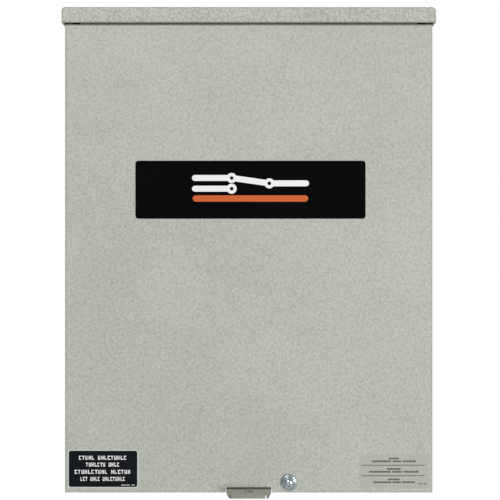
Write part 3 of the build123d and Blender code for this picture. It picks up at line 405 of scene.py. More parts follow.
# ---- Switch base and the sleeves and posts of the same moulding ------------------------
# Glass-filled polyester, pressed hot in a steel tool. It is brick red, dull, and the
# glass shows as faint pale flecks just under the skin.
material, tree, shader, place = start("red-brown glass polyester")
fleck = add(tree, "ShaderNodeTexVoronoi", {"feature": "F1"},
            {"Vector": place, "Scale": per_mm(2.4), "Randomness": 1.0})
strand = add(tree, "ShaderNodeMapRange", {},
             {"Value": fleck.outputs["Distance"], "From Min": 0.10, "From Max": 0.22})
cloud = add(tree, "ShaderNodeTexNoise", {}, {"Vector": place, "Scale": per_mm(22), "Detail": 5.0})
resin = add(tree, "ShaderNodeMix", {"data_type": "RGBA"},
            {0: cloud.outputs["Fac"], 6: linear("#63241A"), 7: linear("#8B3625")})
colour = add(tree, "ShaderNodeMix", {"data_type": "RGBA"},
             {0: strand.outputs[0], 6: linear("#A5563F"), 7: resin.outputs[2]})
gloss = add(tree, "ShaderNodeMapRange", {},
            {"Value": cloud.outputs["Fac"], "To Min": 0.40, "To Max": 0.58})
bump = add(tree, "ShaderNodeBump", {},
           {"Height": fleck.outputs["Distance"], "Distance": 0.02 * MM})
surface(tree, shader, colour.outputs[2], gloss.outputs[0], bump.outputs[0])
dress(material, "switch_base", "rotor_insulators", "bar_insulators")

# ---- Rotor shaft, crank, plunger and the manual lever ----------------------------------
# The shaft and plunger are turned bar, with fine rings round them. The crank and lever
# are blanked plate. The lever's grip is dipped in red vinyl over a ribbed core.
dress(metal("turned shaft steel", "#7B7C7E", "#AFB0B2", 6, (0.20, 0.38), 0.5, 0.02,
            (1, 0.04, 0.04)), "rotor_shaft")
dress(metal("turned plunger steel", "#7B7C7E", "#AFB0B2", 6, (0.20, 0.38), 0.5, 0.02,
            (0.04, 0.04, 1)), "plunger_rod")
dress(metal("blanked plate steel", "#6F7072", "#9B9C9E", 9, (0.28, 0.46), 0.9, 0.02),
      "drive_crank")
dress(zinc, "manual_handle")
vinyl = moulded("dipped red vinyl", "#9B1911", "#B6251B", (0.22, 0.34), 1.5, 0.03, 0.4)
GRIP_SPAN = 12.0
GRIP_LONG = 5.45
GRIP_TALL = 6.45
GRIP_RIBS = 4
GRIP_RIB_DEPTH = 0.045
GRIP_RIBBED = 0.86
GRIP_SQUARENESS = 3.4
grip_x, grip_y, grip_z = limits("handle_grip")
across = np.linspace(-1, 1, 49)
swell = np.clip(1 - np.abs(across) ** 6, 0.004, 1) ** (1 / 4)
ribs = 0.5 + 0.5 * np.cos(2 * np.pi * GRIP_RIBS * across)
swell *= 1 - GRIP_RIB_DEPTH * ribs * (np.abs(across) < GRIP_RIBBED)
turn = np.linspace(0, 2 * np.pi, 40, endpoint=False)
square = 2 / GRIP_SQUARENESS
lengthwise = np.sign(np.cos(turn)) * np.abs(np.cos(turn)) ** square * GRIP_LONG
upright = np.sign(np.sin(turn)) * np.abs(np.sin(turn)) ** square * GRIP_TALL
grip_rings = (swell[:, None, None] * (lengthwise[None, :, None] * arm_way
                                      + upright[None, :, None] * arm_side)
              + (across * GRIP_SPAN)[:, None, None] * np.array([1.0, 0, 0])
              + np.array([middle(grip_x), middle(grip_y), middle(grip_z)]))
grip = skin("handle_grip_ribbed", [grip_rings], vinyl, "transfer_rotor")
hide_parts("handle_grip")

# ---- Arc chutes: fibre cheeks with steel splitters between -----------------------------
# Each cheek is 1.6 mm vulcanised fibre with rounded corners. The splitters are thin
# steel plates, copper flashed, with a notch towards the arm that draws the arc in.
CHUTE_HALF = 14.0
CHEEK = 1.6
CHEEK_CORNER = 3.0
CHEEK_BEVEL = 0.3
SPLITTERS = 6
SPLITTER_PITCH = 10.0
SPLITTER_DEEP = 8.5
SPLITTER_HALF = 0.6
CORNER_STEPS = 10


def rounded_ring(a, b, at, inset, corner, axis=1):
    """One ring of points round a rectangle with round corners (all mm). a and b are its
    limits on the two other axes, and at is its place along the axis it faces."""
    half_a, half_b = (a[1] - a[0]) / 2 - inset, (b[1] - b[0]) / 2 - inset
    radius = max(corner - inset, 0.05)
    turn = np.linspace(0, np.pi / 2, CORNER_STEPS)
    angle = np.concatenate([turn + quarter * np.pi / 2 for quarter in range(4)])
    side_a = np.repeat([1, -1, -1, 1], CORNER_STEPS)
    side_b = np.repeat([1, 1, -1, -1], CORNER_STEPS)
    ring = np.stack([middle(a) + side_a * (half_a - radius) + radius * np.cos(angle),
                     middle(b) + side_b * (half_b - radius) + radius * np.sin(angle)], axis=1)
    return np.insert(ring, axis, at, axis=1)


def plate(a, b, faces, corner, bevel, axis=1):
    """The rings of a plate with round corners, its edge rounded over at its first face.
    faces are its two places along the axis that it faces."""
    way = np.sign(faces[1] - faces[0])
    return [rounded_ring(a, b, faces[1], 0, corner, axis),
            rounded_ring(a, b, faces[0] + way * bevel, 0, corner, axis),
            rounded_ring(a, b, faces[0] + way * bevel * 0.3, bevel * 0.3, corner, axis),
            rounded_ring(a, b, faces[0], bevel, corner, axis)]


fibre = moulded("vulcanised fibre", "#7A7366", "#978F80", (0.60, 0.76), 1.2, 0.03)
flashed = metal("copper-flashed splitter steel", "#7E6A5C", "#A08A78", 5, (0.26, 0.44), 0.8, 0.01)
chute_x, chute_y, chute_z = limits("arc_chutes")
cheeks, splitters = [], []
notch = np.array([(-1, 0), (1, 0), (1, 1), (0.45, 1), (0.12, 0.35), (-0.12, 0.35), (-0.45, 1),
                  (-1, 1)])
for pole in (chute_x[0] + CHUTE_HALF, chute_x[1] - CHUTE_HALF):
    for side in (-1, 1):
        outer = pole + side * CHUTE_HALF
        cheeks.append(plate(chute_y, chute_z, (outer, outer - side * CHEEK), CHEEK_CORNER,
                            CHEEK_BEVEL, 0))
    outline = notch * [CHUTE_HALF - CHEEK, SPLITTER_DEEP] + [pole, chute_y[0]]
    for step in np.arange(SPLITTERS) - (SPLITTERS - 1) / 2:
        splitters.append([np.insert(outline, 2, middle(chute_z) + step * SPLITTER_PITCH + half,
                                    axis=1)
                          for half in (-SPLITTER_HALF, SPLITTER_HALF)])
chute_cheeks = skin("arc_chute_cheeks", cheeks, fibre, "enclosure")
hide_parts("arc_chutes")
skin("arc_chute_splitters", splitters, flashed, "enclosure", smooth=False)

# ---- Solenoid coils: two bobbins wound with wire and wrapped in tape -------------------
# The bobbins are black nylon with thick flanges. Each winding is closed with polyester
# tape, lapped in a spiral, so its surface steps at every turn of the tape.
COIL_TALL = 48.0
FLANGE = 3.0
ROUND_OVER = 0.5
BORE_R = 8.5
CORE_R = 11.5
TAPE_R = 20.0
TAPE_LAP = 0.4
TAPE_WIDE = 7.0
TAPE_GAP = 0.1
COIL_STEPS = 64
coil_x, coil_y, coil_z = limits("solenoid_coils")
coil_at = (middle(coil_x), middle(coil_y), 0)
coil_r = (coil_x[1] - coil_x[0]) / 2
bobbins, wraps = [], []
for low in (coil_z[0], coil_z[1] - COIL_TALL):
    high = low + COIL_TALL
    bobbins.append(turned([(BORE_R, low), (coil_r - ROUND_OVER, low), (coil_r, low + ROUND_OVER),
                           (coil_r, low + FLANGE - ROUND_OVER),
                           (coil_r - ROUND_OVER, low + FLANGE),
                           (CORE_R, low + FLANGE), (CORE_R, high - FLANGE),
                           (coil_r - ROUND_OVER, high - FLANGE),
                           (coil_r, high - FLANGE + ROUND_OVER), (coil_r, high - ROUND_OVER),
                           (coil_r - ROUND_OVER, high), (BORE_R, high)], coil_at, 2,
                          COIL_STEPS))
    rise = np.linspace(low + FLANGE + TAPE_GAP, high - FLANGE - TAPE_GAP, 90)
    wrap = turned([(CORE_R + TAPE_GAP, rise[-1]), (CORE_R + TAPE_GAP, rise[0])]
                  + [(TAPE_R, z) for z in rise], coil_at, 2, COIL_STEPS)
    outer = wrap[2:]
    spiral = outer[..., 2] / TAPE_WIDE - np.arange(COIL_STEPS) / COIL_STEPS
    lap = 1 + TAPE_LAP * (spiral - np.floor(spiral)) / TAPE_R
    centre = np.array(coil_at[:2])
    outer[..., :2] = centre + (outer[..., :2] - centre) * lap[..., None]
    wraps.append(wrap)
bobbin = skin("coil_bobbins", bobbins, black, "enclosure", loop=True)
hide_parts("solenoid_coils")
tape = moulded("yellow polyester coil tape", "#B08C1C", "#CFA62E", (0.24, 0.36), 3.0, 0.04, 0.2)
skin("coil_tape_wraps", wraps, tape, "enclosure", loop=True)

# ---- Limit switches with their cam and plungers ----------------------------------------
# Small snap switches in black cases stand on a bent bracket. The cam and the plungers
# are white acetal, a little waxy, turned and moulded.
acetal = moulded("white acetal", "#DAD9D2", "#ECEBE4", (0.30, 0.42), 0.8, 0.01)
dress(black, "limit_switches")
dress(acetal, "limit_cam", "limit_plunger_upper", "limit_plunger_lower")

# ---- Control board ---------------------------------------------------------------------
# Glass-epoxy board under green solder mask. Copper traces stand under the mask as paler
# raised lines that run across or up in patches, with tinned pads among them.
TRACE_MM = 1.4
TRACE_SHARE = 0.4
TRACE_PATCH = (0.007, 1.0, 0.0056)
PAD_PITCH_MM = 4.2
PAD_SIZE = 0.16
mask, tree, shader, place = start("green solder mask", Coat_Weight=0.3, Coat_Roughness=0.1)
patch = add(tree, "ShaderNodeVectorMath", {"operation": "SNAP"},
            {0: place, 1: TRACE_PATCH})
pick = add(tree, "ShaderNodeTexWhiteNoise", {}, {"Vector": patch.outputs[0]})
either = add(tree, "ShaderNodeMath", {"operation": "GREATER_THAN"},
             {0: pick.outputs["Value"], 1: 0.5})
parts = add(tree, "ShaderNodeSeparateXYZ", {}, {"Vector": place})
along = add(tree, "ShaderNodeMix", {"data_type": "FLOAT"},
            {0: either.outputs[0], 2: parts.outputs["X"], 3: parts.outputs["Z"]})
count = add(tree, "ShaderNodeMath", {"operation": "MULTIPLY"},
            {0: along.outputs[0], 1: per_mm(TRACE_MM)})
stripe = add(tree, "ShaderNodeMath", {"operation": "FRACT"}, {0: count.outputs[0]})
trace = add(tree, "ShaderNodeMath", {"operation": "LESS_THAN"},
            {0: stripe.outputs[0], 1: TRACE_SHARE})
board_tone = add(tree, "ShaderNodeMix", {"data_type": "RGBA"},
                 {0: trace.outputs[0], 6: linear("#0C4023"), 7: linear("#1B6B40")})
pads = add(tree, "ShaderNodeTexVoronoi", {"feature": "F1"},
           {"Vector": place, "Scale": per_mm(PAD_PITCH_MM), "Randomness": 0.7})
tinned = add(tree, "ShaderNodeMath", {"operation": "LESS_THAN"},
             {0: pads.outputs["Distance"], 1: PAD_SIZE})
colour = add(tree, "ShaderNodeMix", {"data_type": "RGBA"},
             {0: tinned.outputs[0], 6: board_tone.outputs[2], 7: linear("#C4C8C3")})
gloss = add(tree, "ShaderNodeMapRange", {},
            {"Value": tinned.outputs[0], "To Min": 0.24, "To Max": 0.40})
bump = add(tree, "ShaderNodeBump", {}, {"Height": trace.outputs[0], "Distance": 0.03 * MM})
surface(tree, shader, colour.outputs[2], gloss.outputs[0], bump.outputs[0])
dress(mask, "control_board")

# ---- Parts soldered to the board -------------------------------------------------------
# Three sealed relays, three can capacitors, a small transformer, a flat logic chip, a
# screw connector and the seat of the test button. All stand on the board's front face.
board_x, board_y, board_z = limits("control_board")
left, face, foot = board_x[0], board_y[0], board_z[0]
relay_blue = moulded("blue relay case", "#1D3F7C", "#27509A", (0.28, 0.40), 1.0, 0.02)
sleeve = moulded("shrunk capacitor sleeve", "#141B2C", "#1E2740", (0.24, 0.34), 1.5, 0.02, 0.2)
can = metal("capacitor can aluminium", "#B7B8B8", "#DCDDDD", 4, (0.24, 0.38), 0.6, 0.01)
core = metal("laminated core steel", "#5C5D60", "#8A8B8E", 5, (0.34, 0.50), 0.5, 0.06, (1, 1, 0.05))
connector_green = moulded("green connector moulding", "#14663A", "#1C8049", (0.34, 0.48), 0.9, 0.02)
relays = [plate((left + 5, left + 25), (foot + up, foot + up + 16), (face - 15, face), 0.9, 0.7)
          for up in (14, 38, 62)]
board_parts = skin("board_relays", relays, relay_blue, "enclosure")
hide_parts("board_components")
CAN_R = 6.0
CAN_TALL = 13.0
wrap_profile = [(0.05, 0), (5.7, 0), (CAN_R, 0.3), (CAN_R, 1.6), (5.45, 2.1), (CAN_R, 2.6),
                (CAN_R, 12.3), (5.7, 12.8), (5.0, 12.8), (4.9, 12.5), (0.05, 12.5)]
can_at = [(left + 49, foot + 80), (left + 49, foot + 98), (left + 34, foot + 89)]
skin("capacitor_sleeves",
     [turned([(r, face - out) for r, out in wrap_profile], (x, 0, z), 1) for x, z in can_at],
     sleeve, "enclosure")
tops = []
for x, z in can_at:
    top = turned([(4.85, face - 12.5)] + [(r, face - CAN_TALL + 0.2)
                                           for r in np.linspace(4.85, 0.05, 18)], (x, 0, z), 1, 64)
    vent = np.minimum(np.abs(top[..., 0] - x), np.abs(top[..., 2] - z))
    reach = np.hypot(top[..., 0] - x, top[..., 2] - z)
    top[1:, :, 1] += (0.12 * np.clip((0.35 - vent) / 0.2, 0, 1) * (reach < 3.9))[1:]
    tops.append(top)
skin("capacitor_tops", tops, can, "enclosure")
skin("transformer_core",
     [plate((left + 32, left + 54), (foot + 16, foot + 44), (face - 13, face - 4), 0.5, 0.3)],
     core, "enclosure")
skin("transformer_winding",
     [plate((left + 36, left + 50), (foot + 19, foot + 41), (face - 17, face), 2.5, 1.6)],
     tape, "enclosure")


def blocks(name, boxes, depth, material, body):
    """Small square-edged blocks from rows of (x low, x high, z low, z high), as closed
    boxes over one range of depth along Y: eight corners each, in one mesh."""
    edges = np.asarray(boxes, dtype=float)
    x = edges[:, [0, 1, 1, 0, 0, 1, 1, 0]]
    z = edges[:, [2, 2, 3, 3, 2, 2, 3, 3]]
    y = np.broadcast_to(np.repeat(depth, 4), x.shape)
    corners = np.stack([x, y, z], axis=-1).reshape(len(edges), 2, 4, 3)
    return skin(name, corners, material, body, smooth=False)


skin("logic_chip_case",
     [plate((left + 8.2, left + 19.8), (foot + 94.6, foot + 107.4), (face - 2.4, face - 0.4),
            0.3, 0.25)], black, "enclosure")
legs = [(left + 7 + 11.8 * side, left + 8.2 + 12.8 * side, foot + 95.6 + n * 1.5,
         foot + 96.2 + n * 1.5) for side in (0, 1) for n in range(8)]
blocks("logic_chip_legs", legs, (face - 1.2, face), can, "enclosure")
skin("board_connector",
     [plate((left + 4, left + 22), (foot + 136, foot + 146), (face - 8.4, face), 0.6, 0.5)],
     connector_green, "enclosure")
heads = []
for x in (left + 8, left + 13, left + 18):
    head = turned([(2.0, face - 8.4)] + [(r, face - 9.0) for r in np.linspace(1.9, 0.05, 12)],
                  (x, 0, foot + 141), 1, 48)
    head[1:, :, 1] += 0.35 * (np.abs(head[1:, :, 2] - foot - 141) < 0.32)
    heads.append(head)
skin("board_connector_screws", heads, zinc, "enclosure")
seat_x, seat_z = (left + 23, left + 35), (foot + 124, foot + 136)
bore_x, bore_z = (left + 25.8, left + 32.2), (foot + 126.8, foot + 133.2)
SEAT_TALL = 6.4
SEAT_CORNER = 0.6
SEAT_BEVEL = 0.4
SEAT_BORE_R = 3.2
seat = [rounded_ring(seat_x, seat_z, face, 0, SEAT_CORNER),
        rounded_ring(seat_x, seat_z, face - SEAT_TALL + SEAT_BEVEL, 0, SEAT_CORNER),
        rounded_ring(seat_x, seat_z, face - SEAT_TALL, SEAT_BEVEL, SEAT_CORNER),
        rounded_ring(bore_x, bore_z, face - SEAT_TALL, 0, SEAT_BORE_R),
        rounded_ring(bore_x, bore_z, face, 0, SEAT_BORE_R)]
skin("test_button_seat", [seat], black, "enclosure", loop=True)
dress(vinyl, "test_button")

# ---- Fuses, fuse block and terminal strip ----------------------------------------------
# Each fuse is a white ceramic tube with two nickel-plated brass caps, crimped on. The
# block and the barrier strip are black mouldings screwed to the subpanel.
FUSE_R = 5.2
CAP_LONG = 8.5
ceramic = moulded("glazed fuse ceramic", "#D8D3C3", "#EAE6D9", (0.16, 0.28), 0.8, 0.01, 0.3)
nickel = metal("nickel-plated cap brass", "#A9A595", "#D6D2C4", 3, (0.16, 0.30), 0.5, 0.01)
dress(black, "fuse_block", "terminal_strip")
fuse_x, fuse_y, fuse_z = limits("fuses")
tubes, caps = [], []
for x in (fuse_x[0] + FUSE_R, middle(fuse_x), fuse_x[1] - FUSE_R):
    at = (x, middle(fuse_y), 0)
    tubes.append(turned([(0.05, fuse_z[0] + 1), (4.8, fuse_z[0] + 1), (4.8, fuse_z[1] - 1),
                         (0.05, fuse_z[1] - 1)], at, 2, 32))
    for end, way in ((fuse_z[0], 1), (fuse_z[1], -1)):
        caps.append(turned([(r, end + way * up) for r, up in (
            (0.05, 0), (4.4, 0), (5.0, 0.3), (FUSE_R, 0.9), (FUSE_R, 6.6), (4.95, 7.1),
            (4.95, 7.5), (FUSE_R, 7.8), (5.1, CAP_LONG), (4.7, CAP_LONG), (0.05, CAP_LONG))],
            at, 2, 32))
fuse_tubes = skin("fuse_tubes", tubes, ceramic, "enclosure")
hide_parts("fuses")
skin("fuse_caps", caps, nickel, "enclosure")

# ---- Cable lugs, neutral bar, ground bar and their screws ------------------------------
# The lugs and bars are sawn from extruded aluminium and tin plated, so they are dull
# and even with faint lines along them. The clamping screws are bright zinc.
tinned_aluminium = metal("tin-plated aluminium", "#ADAEAD", "#D8D9D8", 7, (0.28, 0.46), 0.7,
                         0.02, (1, 1, 0.08))
dress(tinned_aluminium, "cable_lugs", "neutral_bar", "ground_bar")
dress(zinc, "terminal_screws")

# ---- Control wires ---------------------------------------------------------------------
# Stranded wire in PVC, laced flat on the subpanel. Each circuit has its own colour, so
# the colour goes by the wire's place across the panel.
WIRES_FROM, WIRES_TO = 0.0975, 0.1375
wires, tree, shader, place = start("coloured wire jackets", Coat_Weight=0.15)
parts = add(tree, "ShaderNodeSeparateXYZ", {}, {"Vector": place})
across_panel = add(tree, "ShaderNodeMapRange", {},
                   {"Value": parts.outputs["X"], "From Min": WIRES_FROM, "From Max": WIRES_TO})
jacket = add(tree, "ShaderNodeValToRGB", {}, {"Fac": across_panel.outputs[0]})
jacket.color_ramp.interpolation = "CONSTANT"
marks = jacket.color_ramp.elements
for spot, tone in ((0.0, "#A81E1A"), (0.125, "#1F4390"), (0.25, "#D0A21E"), (0.375, "#1C1D1F"),
                   (0.75, "#C4622A")):
    mark = marks[0] if spot == 0.0 else marks.new(spot)
    mark.color = linear(tone)
marks[-1].color = marks[-2].color
scuff = add(tree, "ShaderNodeTexNoise", {}, {"Vector": place, "Scale": per_mm(4), "Detail": 4.0})
gloss = add(tree, "ShaderNodeMapRange", {},
            {"Value": scuff.outputs["Fac"], "To Min": 0.28, "To Max": 0.44})
bump = add(tree, "ShaderNodeBump", {}, {"Height": scuff.outputs["Fac"], "Distance": 0.02 * MM})
surface(tree, shader, jacket.outputs["Color"], gloss.outputs[0], bump.outputs[0])
dress(wires, "control_wires")

# ---- Clear safety shield ---------------------------------------------------------------
# Polycarbonate sheet, 3 mm, cut and drilled. It is clear with a faint haze of handling
# marks, and its index of 1.58 gives a firm reflection.
clear, tree, shader, place = start("clear polycarbonate sheet", Base_Color=linear("#9FB0B6"),
                                   IOR=1.58, Alpha=0.10)
haze = add(tree, "ShaderNodeTexNoise", {},
           {"Vector": place, "Scale": per_mm(40), "Detail": 6.0, "Roughness": 0.7})
wiped = add(tree, "ShaderNodeMapRange", {},
            {"Value": haze.outputs["Fac"], "To Min": 0.04, "To Max": 0.16})
tree.links.new(wiped.outputs[0], shader.inputs["Roughness"])
dress(clear, "safety_shield")

# ---- Cover gasket ----------------------------------------------------------------------
# Self-adhesive strip of closed-cell foam rubber round the inside of the cover. Its
# cells show as fine pits, painted darker towards their bottoms as a painted shade, and
# it takes almost no shine.
gasket, tree, shader, place = start("closed-cell foam rubber", Specular_IOR_Level=0.25)
pits = add(tree, "ShaderNodeTexVoronoi", {"feature": "F1"}, {"Vector": place, "Scale": per_mm(1.1)})
# Painted shade: the pit depth that drives the relief also darkens the colour, darkest at each pit's
# bottom.
tone = add(tree, "ShaderNodeMix", {"data_type": "RGBA"},
           {0: pits.outputs["Distance"], 6: linear("#121213"), 7: linear("#333335")})
gloss = add(tree, "ShaderNodeMapRange", {},
            {"Value": pits.outputs["Distance"], "To Min": 0.84, "To Max": 0.96})
bump = add(tree, "ShaderNodeBump", {}, {"Height": pits.outputs["Distance"], "Distance": 0.2 * MM})
surface(tree, shader, tone.outputs[2], gloss.outputs[0], bump.outputs[0])
dress(gasket, "cover_gasket")

# ---- Nameplate -------------------------------------------------------------------------
# A black anodised plate with a bevelled edge, bonded to the cover, deep and even with
# hardly a shine. It carries a plain circuit symbol of a changeover switch, screen
# printed in white over an orange bar: the lines first, and the rings over their ends.
PLATE_CORNER = 3.0
PLATE_BEVEL = 0.35
anodised = moulded("black printed plate", "#0A0C0B", "#0C0E0D", (0.16, 0.20), 12, 0.005, 0.0, 0.01)
ink_orange = moulded("orange screen ink", "#D0602C", "#DA6933", (0.42, 0.55), 0.6, 0.01, 0.0, 0.2)
plate_x, plate_y, plate_z = limits("nameplate")
plate_front = plate_y[0]
nameplate = skin("nameplate_black_plate", [plate(plate_x, plate_z, plate_y, PLATE_CORNER,
                                                 PLATE_BEVEL)],
                 anodised, "cover")
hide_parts("nameplate")
SYMBOL_LINE = 6.0
SYMBOL_RISE = 5.4
SYMBOL_IN = 19.0
SYMBOL_OUT = 56.0
SYMBOL_UP = 6.4
LEAD_FROM = 4.9
BLADE_TO = 5.2
BLADE_EASE = 0.7
SYMBOL_RING = (5.1, 1.8)
FIRST_PASS = 0.01
BAR_TALL = 6.4
BAR_HALF = 55.0
BAR_DROP = 8.9
mid_x, mid_z = middle(plate_x), middle(plate_z)
symbol_z = mid_z + SYMBOL_UP
terminals = {"utility": (mid_x - SYMBOL_IN, symbol_z + SYMBOL_RISE),
             "generator": (mid_x - SYMBOL_IN, symbol_z - SYMBOL_RISE),
             "load": (mid_x + SYMBOL_IN, symbol_z)}
for terminal, (at_x, at_z) in terminals.items():
    outward = np.sign(at_x - mid_x)
    ring_print(f"symbol_ring_{terminal}", (at_x, at_z), *SYMBOL_RING, plate_front, ink_white,
               "cover", "nameplate_black")
    stroke(f"symbol_lead_{terminal}", (at_x + outward * LEAD_FROM, at_z),
           (mid_x + outward * SYMBOL_OUT, at_z), SYMBOL_LINE, plate_front + FIRST_PASS,
           ink_white, "cover")
stroke("symbol_blade", (mid_x + SYMBOL_IN - LEAD_FROM, symbol_z + BLADE_EASE),
       (mid_x - SYMBOL_IN + BLADE_TO, symbol_z + SYMBOL_RISE - BLADE_EASE), SYMBOL_LINE,
       plate_front + FIRST_PASS, ink_white, "cover")
stroke("nameplate_bar", (mid_x - BAR_HALF, mid_z - BAR_DROP),
       (mid_x + BAR_HALF, mid_z - BAR_DROP), BAR_TALL, plate_front, ink_orange, "cover")

# ---- Lower-left label ------------------------------------------------------------------
# A die-cut vinyl sticker: a pale border round a dark printed field, with four lines of
# dummy letters that spell nothing, and one short line low on the right.
BORDER = 1.3
vinyl_pale = moulded("pale vinyl film", "#C3CBC4", "#D2D9D3", (0.30, 0.42), 2.0, 0.01)
vinyl_dark = moulded("dark printed vinyl", "#14171B", "#1B1E23", (0.30, 0.42), 2.0, 0.01, 0.0, 0.05)
left_x, left_y, left_z = limits("label_left")
label_left = skin("label_left_film", [plate(left_x, left_z, left_y, 2.6, 0.05)], vinyl_pale,
                  "cover")
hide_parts("label_left")
field_x = (left_x[0] + BORDER, left_x[1] - BORDER)
field_z = (left_z[0] + BORDER, left_z[1] - BORDER)
field_front = left_y[0] - PRINT
skin("label_left_field", [plate(field_x, field_z, (field_front, left_y[0]), 2.0, 0.01)],
     vinyl_dark, "cover")


# Dummy letters as bars on a unit square: x low, x high, z low and z high of each bar.
SOLID = (((0, 1, 0, 1),),)
BARRED = (((0, 0.34, 0, 1), (0.34, 1, 0.76, 1), (0.34, 1, 0, 0.24)),
          ((0, 0.32, 0, 1), (0.68, 1, 0, 1), (0.32, 0.68, 0.40, 0.62)),
          ((0, 1, 0.76, 1), (0.33, 0.67, 0, 0.76)),
          ((0, 0.34, 0, 1), (0.34, 1, 0, 0.24)),
          ((0, 0.32, 0, 1), (0.68, 1, 0, 1), (0.32, 0.68, 0, 0.24)))
LETTER_WIDTHS = (0.80, 0.68, 0.76, 0.62)
WORD_GAP = 0.9


def dummy_line(x, z, tall, words, marks):
    """Blocks for one line of dummy text: words are letter counts, spread over x. The marks
    and the letter widths are taken in fixed cycles."""
    pitch = (x[1] - x[0]) / (sum(words) + WORD_GAP * (len(words) - 1))
    boxes = []
    cursor = x[0]
    for word in words:
        for letter in range(word):
            low = cursor + letter * pitch
            wide = pitch * LETTER_WIDTHS[(letter + word) % len(LETTER_WIDTHS)]
            foot_z = z - tall / 2
            boxes += [(low + a * wide, low + b * wide, foot_z + c * tall, foot_z + d * tall)
                      for a, b, c, d in marks[(2 * letter + word) % len(marks)]]
        cursor += (word + WORD_GAP) * pitch
    return boxes


LETTERS_TALL = 4.0
LABEL_LINES = ((24.3, 7.0, (5, 9)), (17.2, 13.9, (7, 4)), (28.5, 21.2, (10, 6)),
               (22.7, 28.3, (3, 4, 9)))
left_text = []
for half, drop, words in LABEL_LINES:
    left_text += dummy_line((middle(field_x) - half, middle(field_x) + half),
                            field_z[1] - drop, LETTERS_TALL, words, BARRED)
left_text += dummy_line((field_x[1] - 16, field_x[1] - 2), field_z[0] + 1.9, 0.7, (5, 2),
                        SOLID)
blocks("label_left_lines", left_text, (field_front - PRINT, field_front), ink_white, "cover")

# ---- Lower-right label -----------------------------------------------------------------
# A thin clear-grey rating film with ruled rows and small dark dummy lines in each row.
# Its colour is close to that of the coat, so mostly its print shows.
film = moulded("clear-grey rating film", "#B5B8AD", "#BDC0B5", (0.34, 0.46), 2.0, 0.005, 0.0, 0.06)
ink_grey = moulded("grey screen ink", "#1C1F1E", "#2A2D2B", (0.45, 0.58), 0.6, 0.01, 0.0, 0.3)
right_x, right_y, right_z = limits("label_right")
label_right = skin("label_right_film", [plate(right_x, right_z, right_y, 1.0, 0.05)], film,
                   "cover")
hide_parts("label_right")
SMALL_TALL = 1.7
FIRST_DROP = 3.8
NEXT_DROP = 2.8
RULE_HALF = 0.3
row_tall = (right_z[1] - right_z[0]) / 3.2
right_text = []
for row, halves in enumerate(((5, 22), (7, 25), (6, 21))):
    top = right_z[1] - FIRST_DROP - row * row_tall
    for half, drop, words in ((halves[0], 0, (8,)), (halves[1], NEXT_DROP, (13, 6, 9))):
        right_text += dummy_line((middle(right_x) - half, middle(right_x) + half), top - drop,
                                 SMALL_TALL, words, SOLID)
for row in (1, 2):
    rule = right_z[1] - row * row_tall
    right_text.append((right_x[0] + 2, right_x[1] - 4, rule - RULE_HALF, rule + RULE_HALF))
right_text += dummy_line((right_x[1] - 10, right_x[1] - 2), right_z[0] + 4.5, 1.0, (4, 3),
                         SOLID)
blocks("label_right_lines", right_text, (right_y[0] - PRINT, right_y[0]), ink_grey, "cover")

# ---- Captive cover screw with its dished washer and retainer ---------------------------
# A pan-head machine screw with a cross recess, its neck turned down behind the thread so
# that it stays in the cover. It clamps a dished washer and is bright zinc plated. The
# head follows (r / R)^3 + (h / H)^3 = 1, and the thread is a triangle wave round a helix.
HEAD_TALL = 4.8
THREAD_LONG = 3.2
THREAD_R = 2.4
THREAD_DEEP = 0.55
THREAD_PITCH = 1.058
NECK_R = 1.8
RECESS_DEEP = 2.6
RECESS_HALF = 0.62
RECESS_REACH = 2.9
ROUND = 72
screw_x, screw_y, screw_z = limits("captive_screw")
screw_at = (middle(screw_x), 0, middle(screw_z))
head_r = (screw_x[1] - screw_x[0]) / 2
head_back = screw_y[0] + HEAD_TALL
thread_start = screw_y[1] - THREAD_LONG
along = np.linspace(screw_y[1] - 0.2, thread_start + 0.1, 46)
edge = np.linspace(np.pi / 2, 0.004, 46)
head_radius = head_r * np.sin(edge)
head_rise = (HEAD_TALL - 0.2) * np.clip(1 - np.sin(edge) ** 3, 0, 1) ** (1 / 3)
profile = [(0.05, screw_y[1]), (1.7, screw_y[1])] + [(THREAD_R, y) for y in along]
profile += [(NECK_R, thread_start), (NECK_R, head_back), (head_r - 0.2, head_back)]
profile += list(zip(head_radius, head_back - 0.2 - head_rise))
screw = turned(profile, screw_at, 1, ROUND)
wave = along[:, None] / THREAD_PITCH - np.arange(ROUND) / ROUND
cut = THREAD_R - THREAD_DEEP * np.abs(2 * (wave - np.floor(wave)) - 1)
spoke = turned([(1.0, 0.0)], (0, 0, 0), 1, ROUND)[0]
screw[2:2 + len(along), :, ::2] = (np.array(screw_at)[::2] + cut[..., None] * spoke[:, ::2])
face_rings = screw[-len(edge):]
u, v = face_rings[..., 0] - screw_at[0], face_rings[..., 2] - screw_at[2]
wings = [np.clip((RECESS_HALF - np.abs(side)) / 0.15, 0, 1)
         * np.clip((RECESS_REACH - np.abs(run)) / 0.9, 0, 1) for run, side in ((u, v), (v, u))]
hub = np.clip((1.30 - np.hypot(u, v)) / 0.25, 0, 1)
face_rings[..., 1] += RECESS_DEEP * np.maximum(np.maximum(*wings), hub)
screw_piece = skin("captive_screw_cross_head", [screw], zinc, "cover_screw")
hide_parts("captive_screw")
washer_x, washer_y, washer_z = limits("captive_washer")
washer_r = (washer_x[1] - washer_x[0]) / 2
dish = [(2.2, washer_y[1]), (washer_r - 0.15, washer_y[1]), (washer_r, washer_y[1] - 0.2),
        (washer_r, washer_y[1] - 0.7), (washer_r - 0.5, washer_y[0] + 0.3),
        (washer_r - 1.0, washer_y[0] + 0.05), (washer_r - 1.4, washer_y[0] + 0.1),
        (washer_r - 2.0, washer_y[0] + 0.75), (washer_r - 2.6, washer_y[0] + 0.75),
        (washer_r - 3.0, washer_y[0]), (2.2, washer_y[0])]
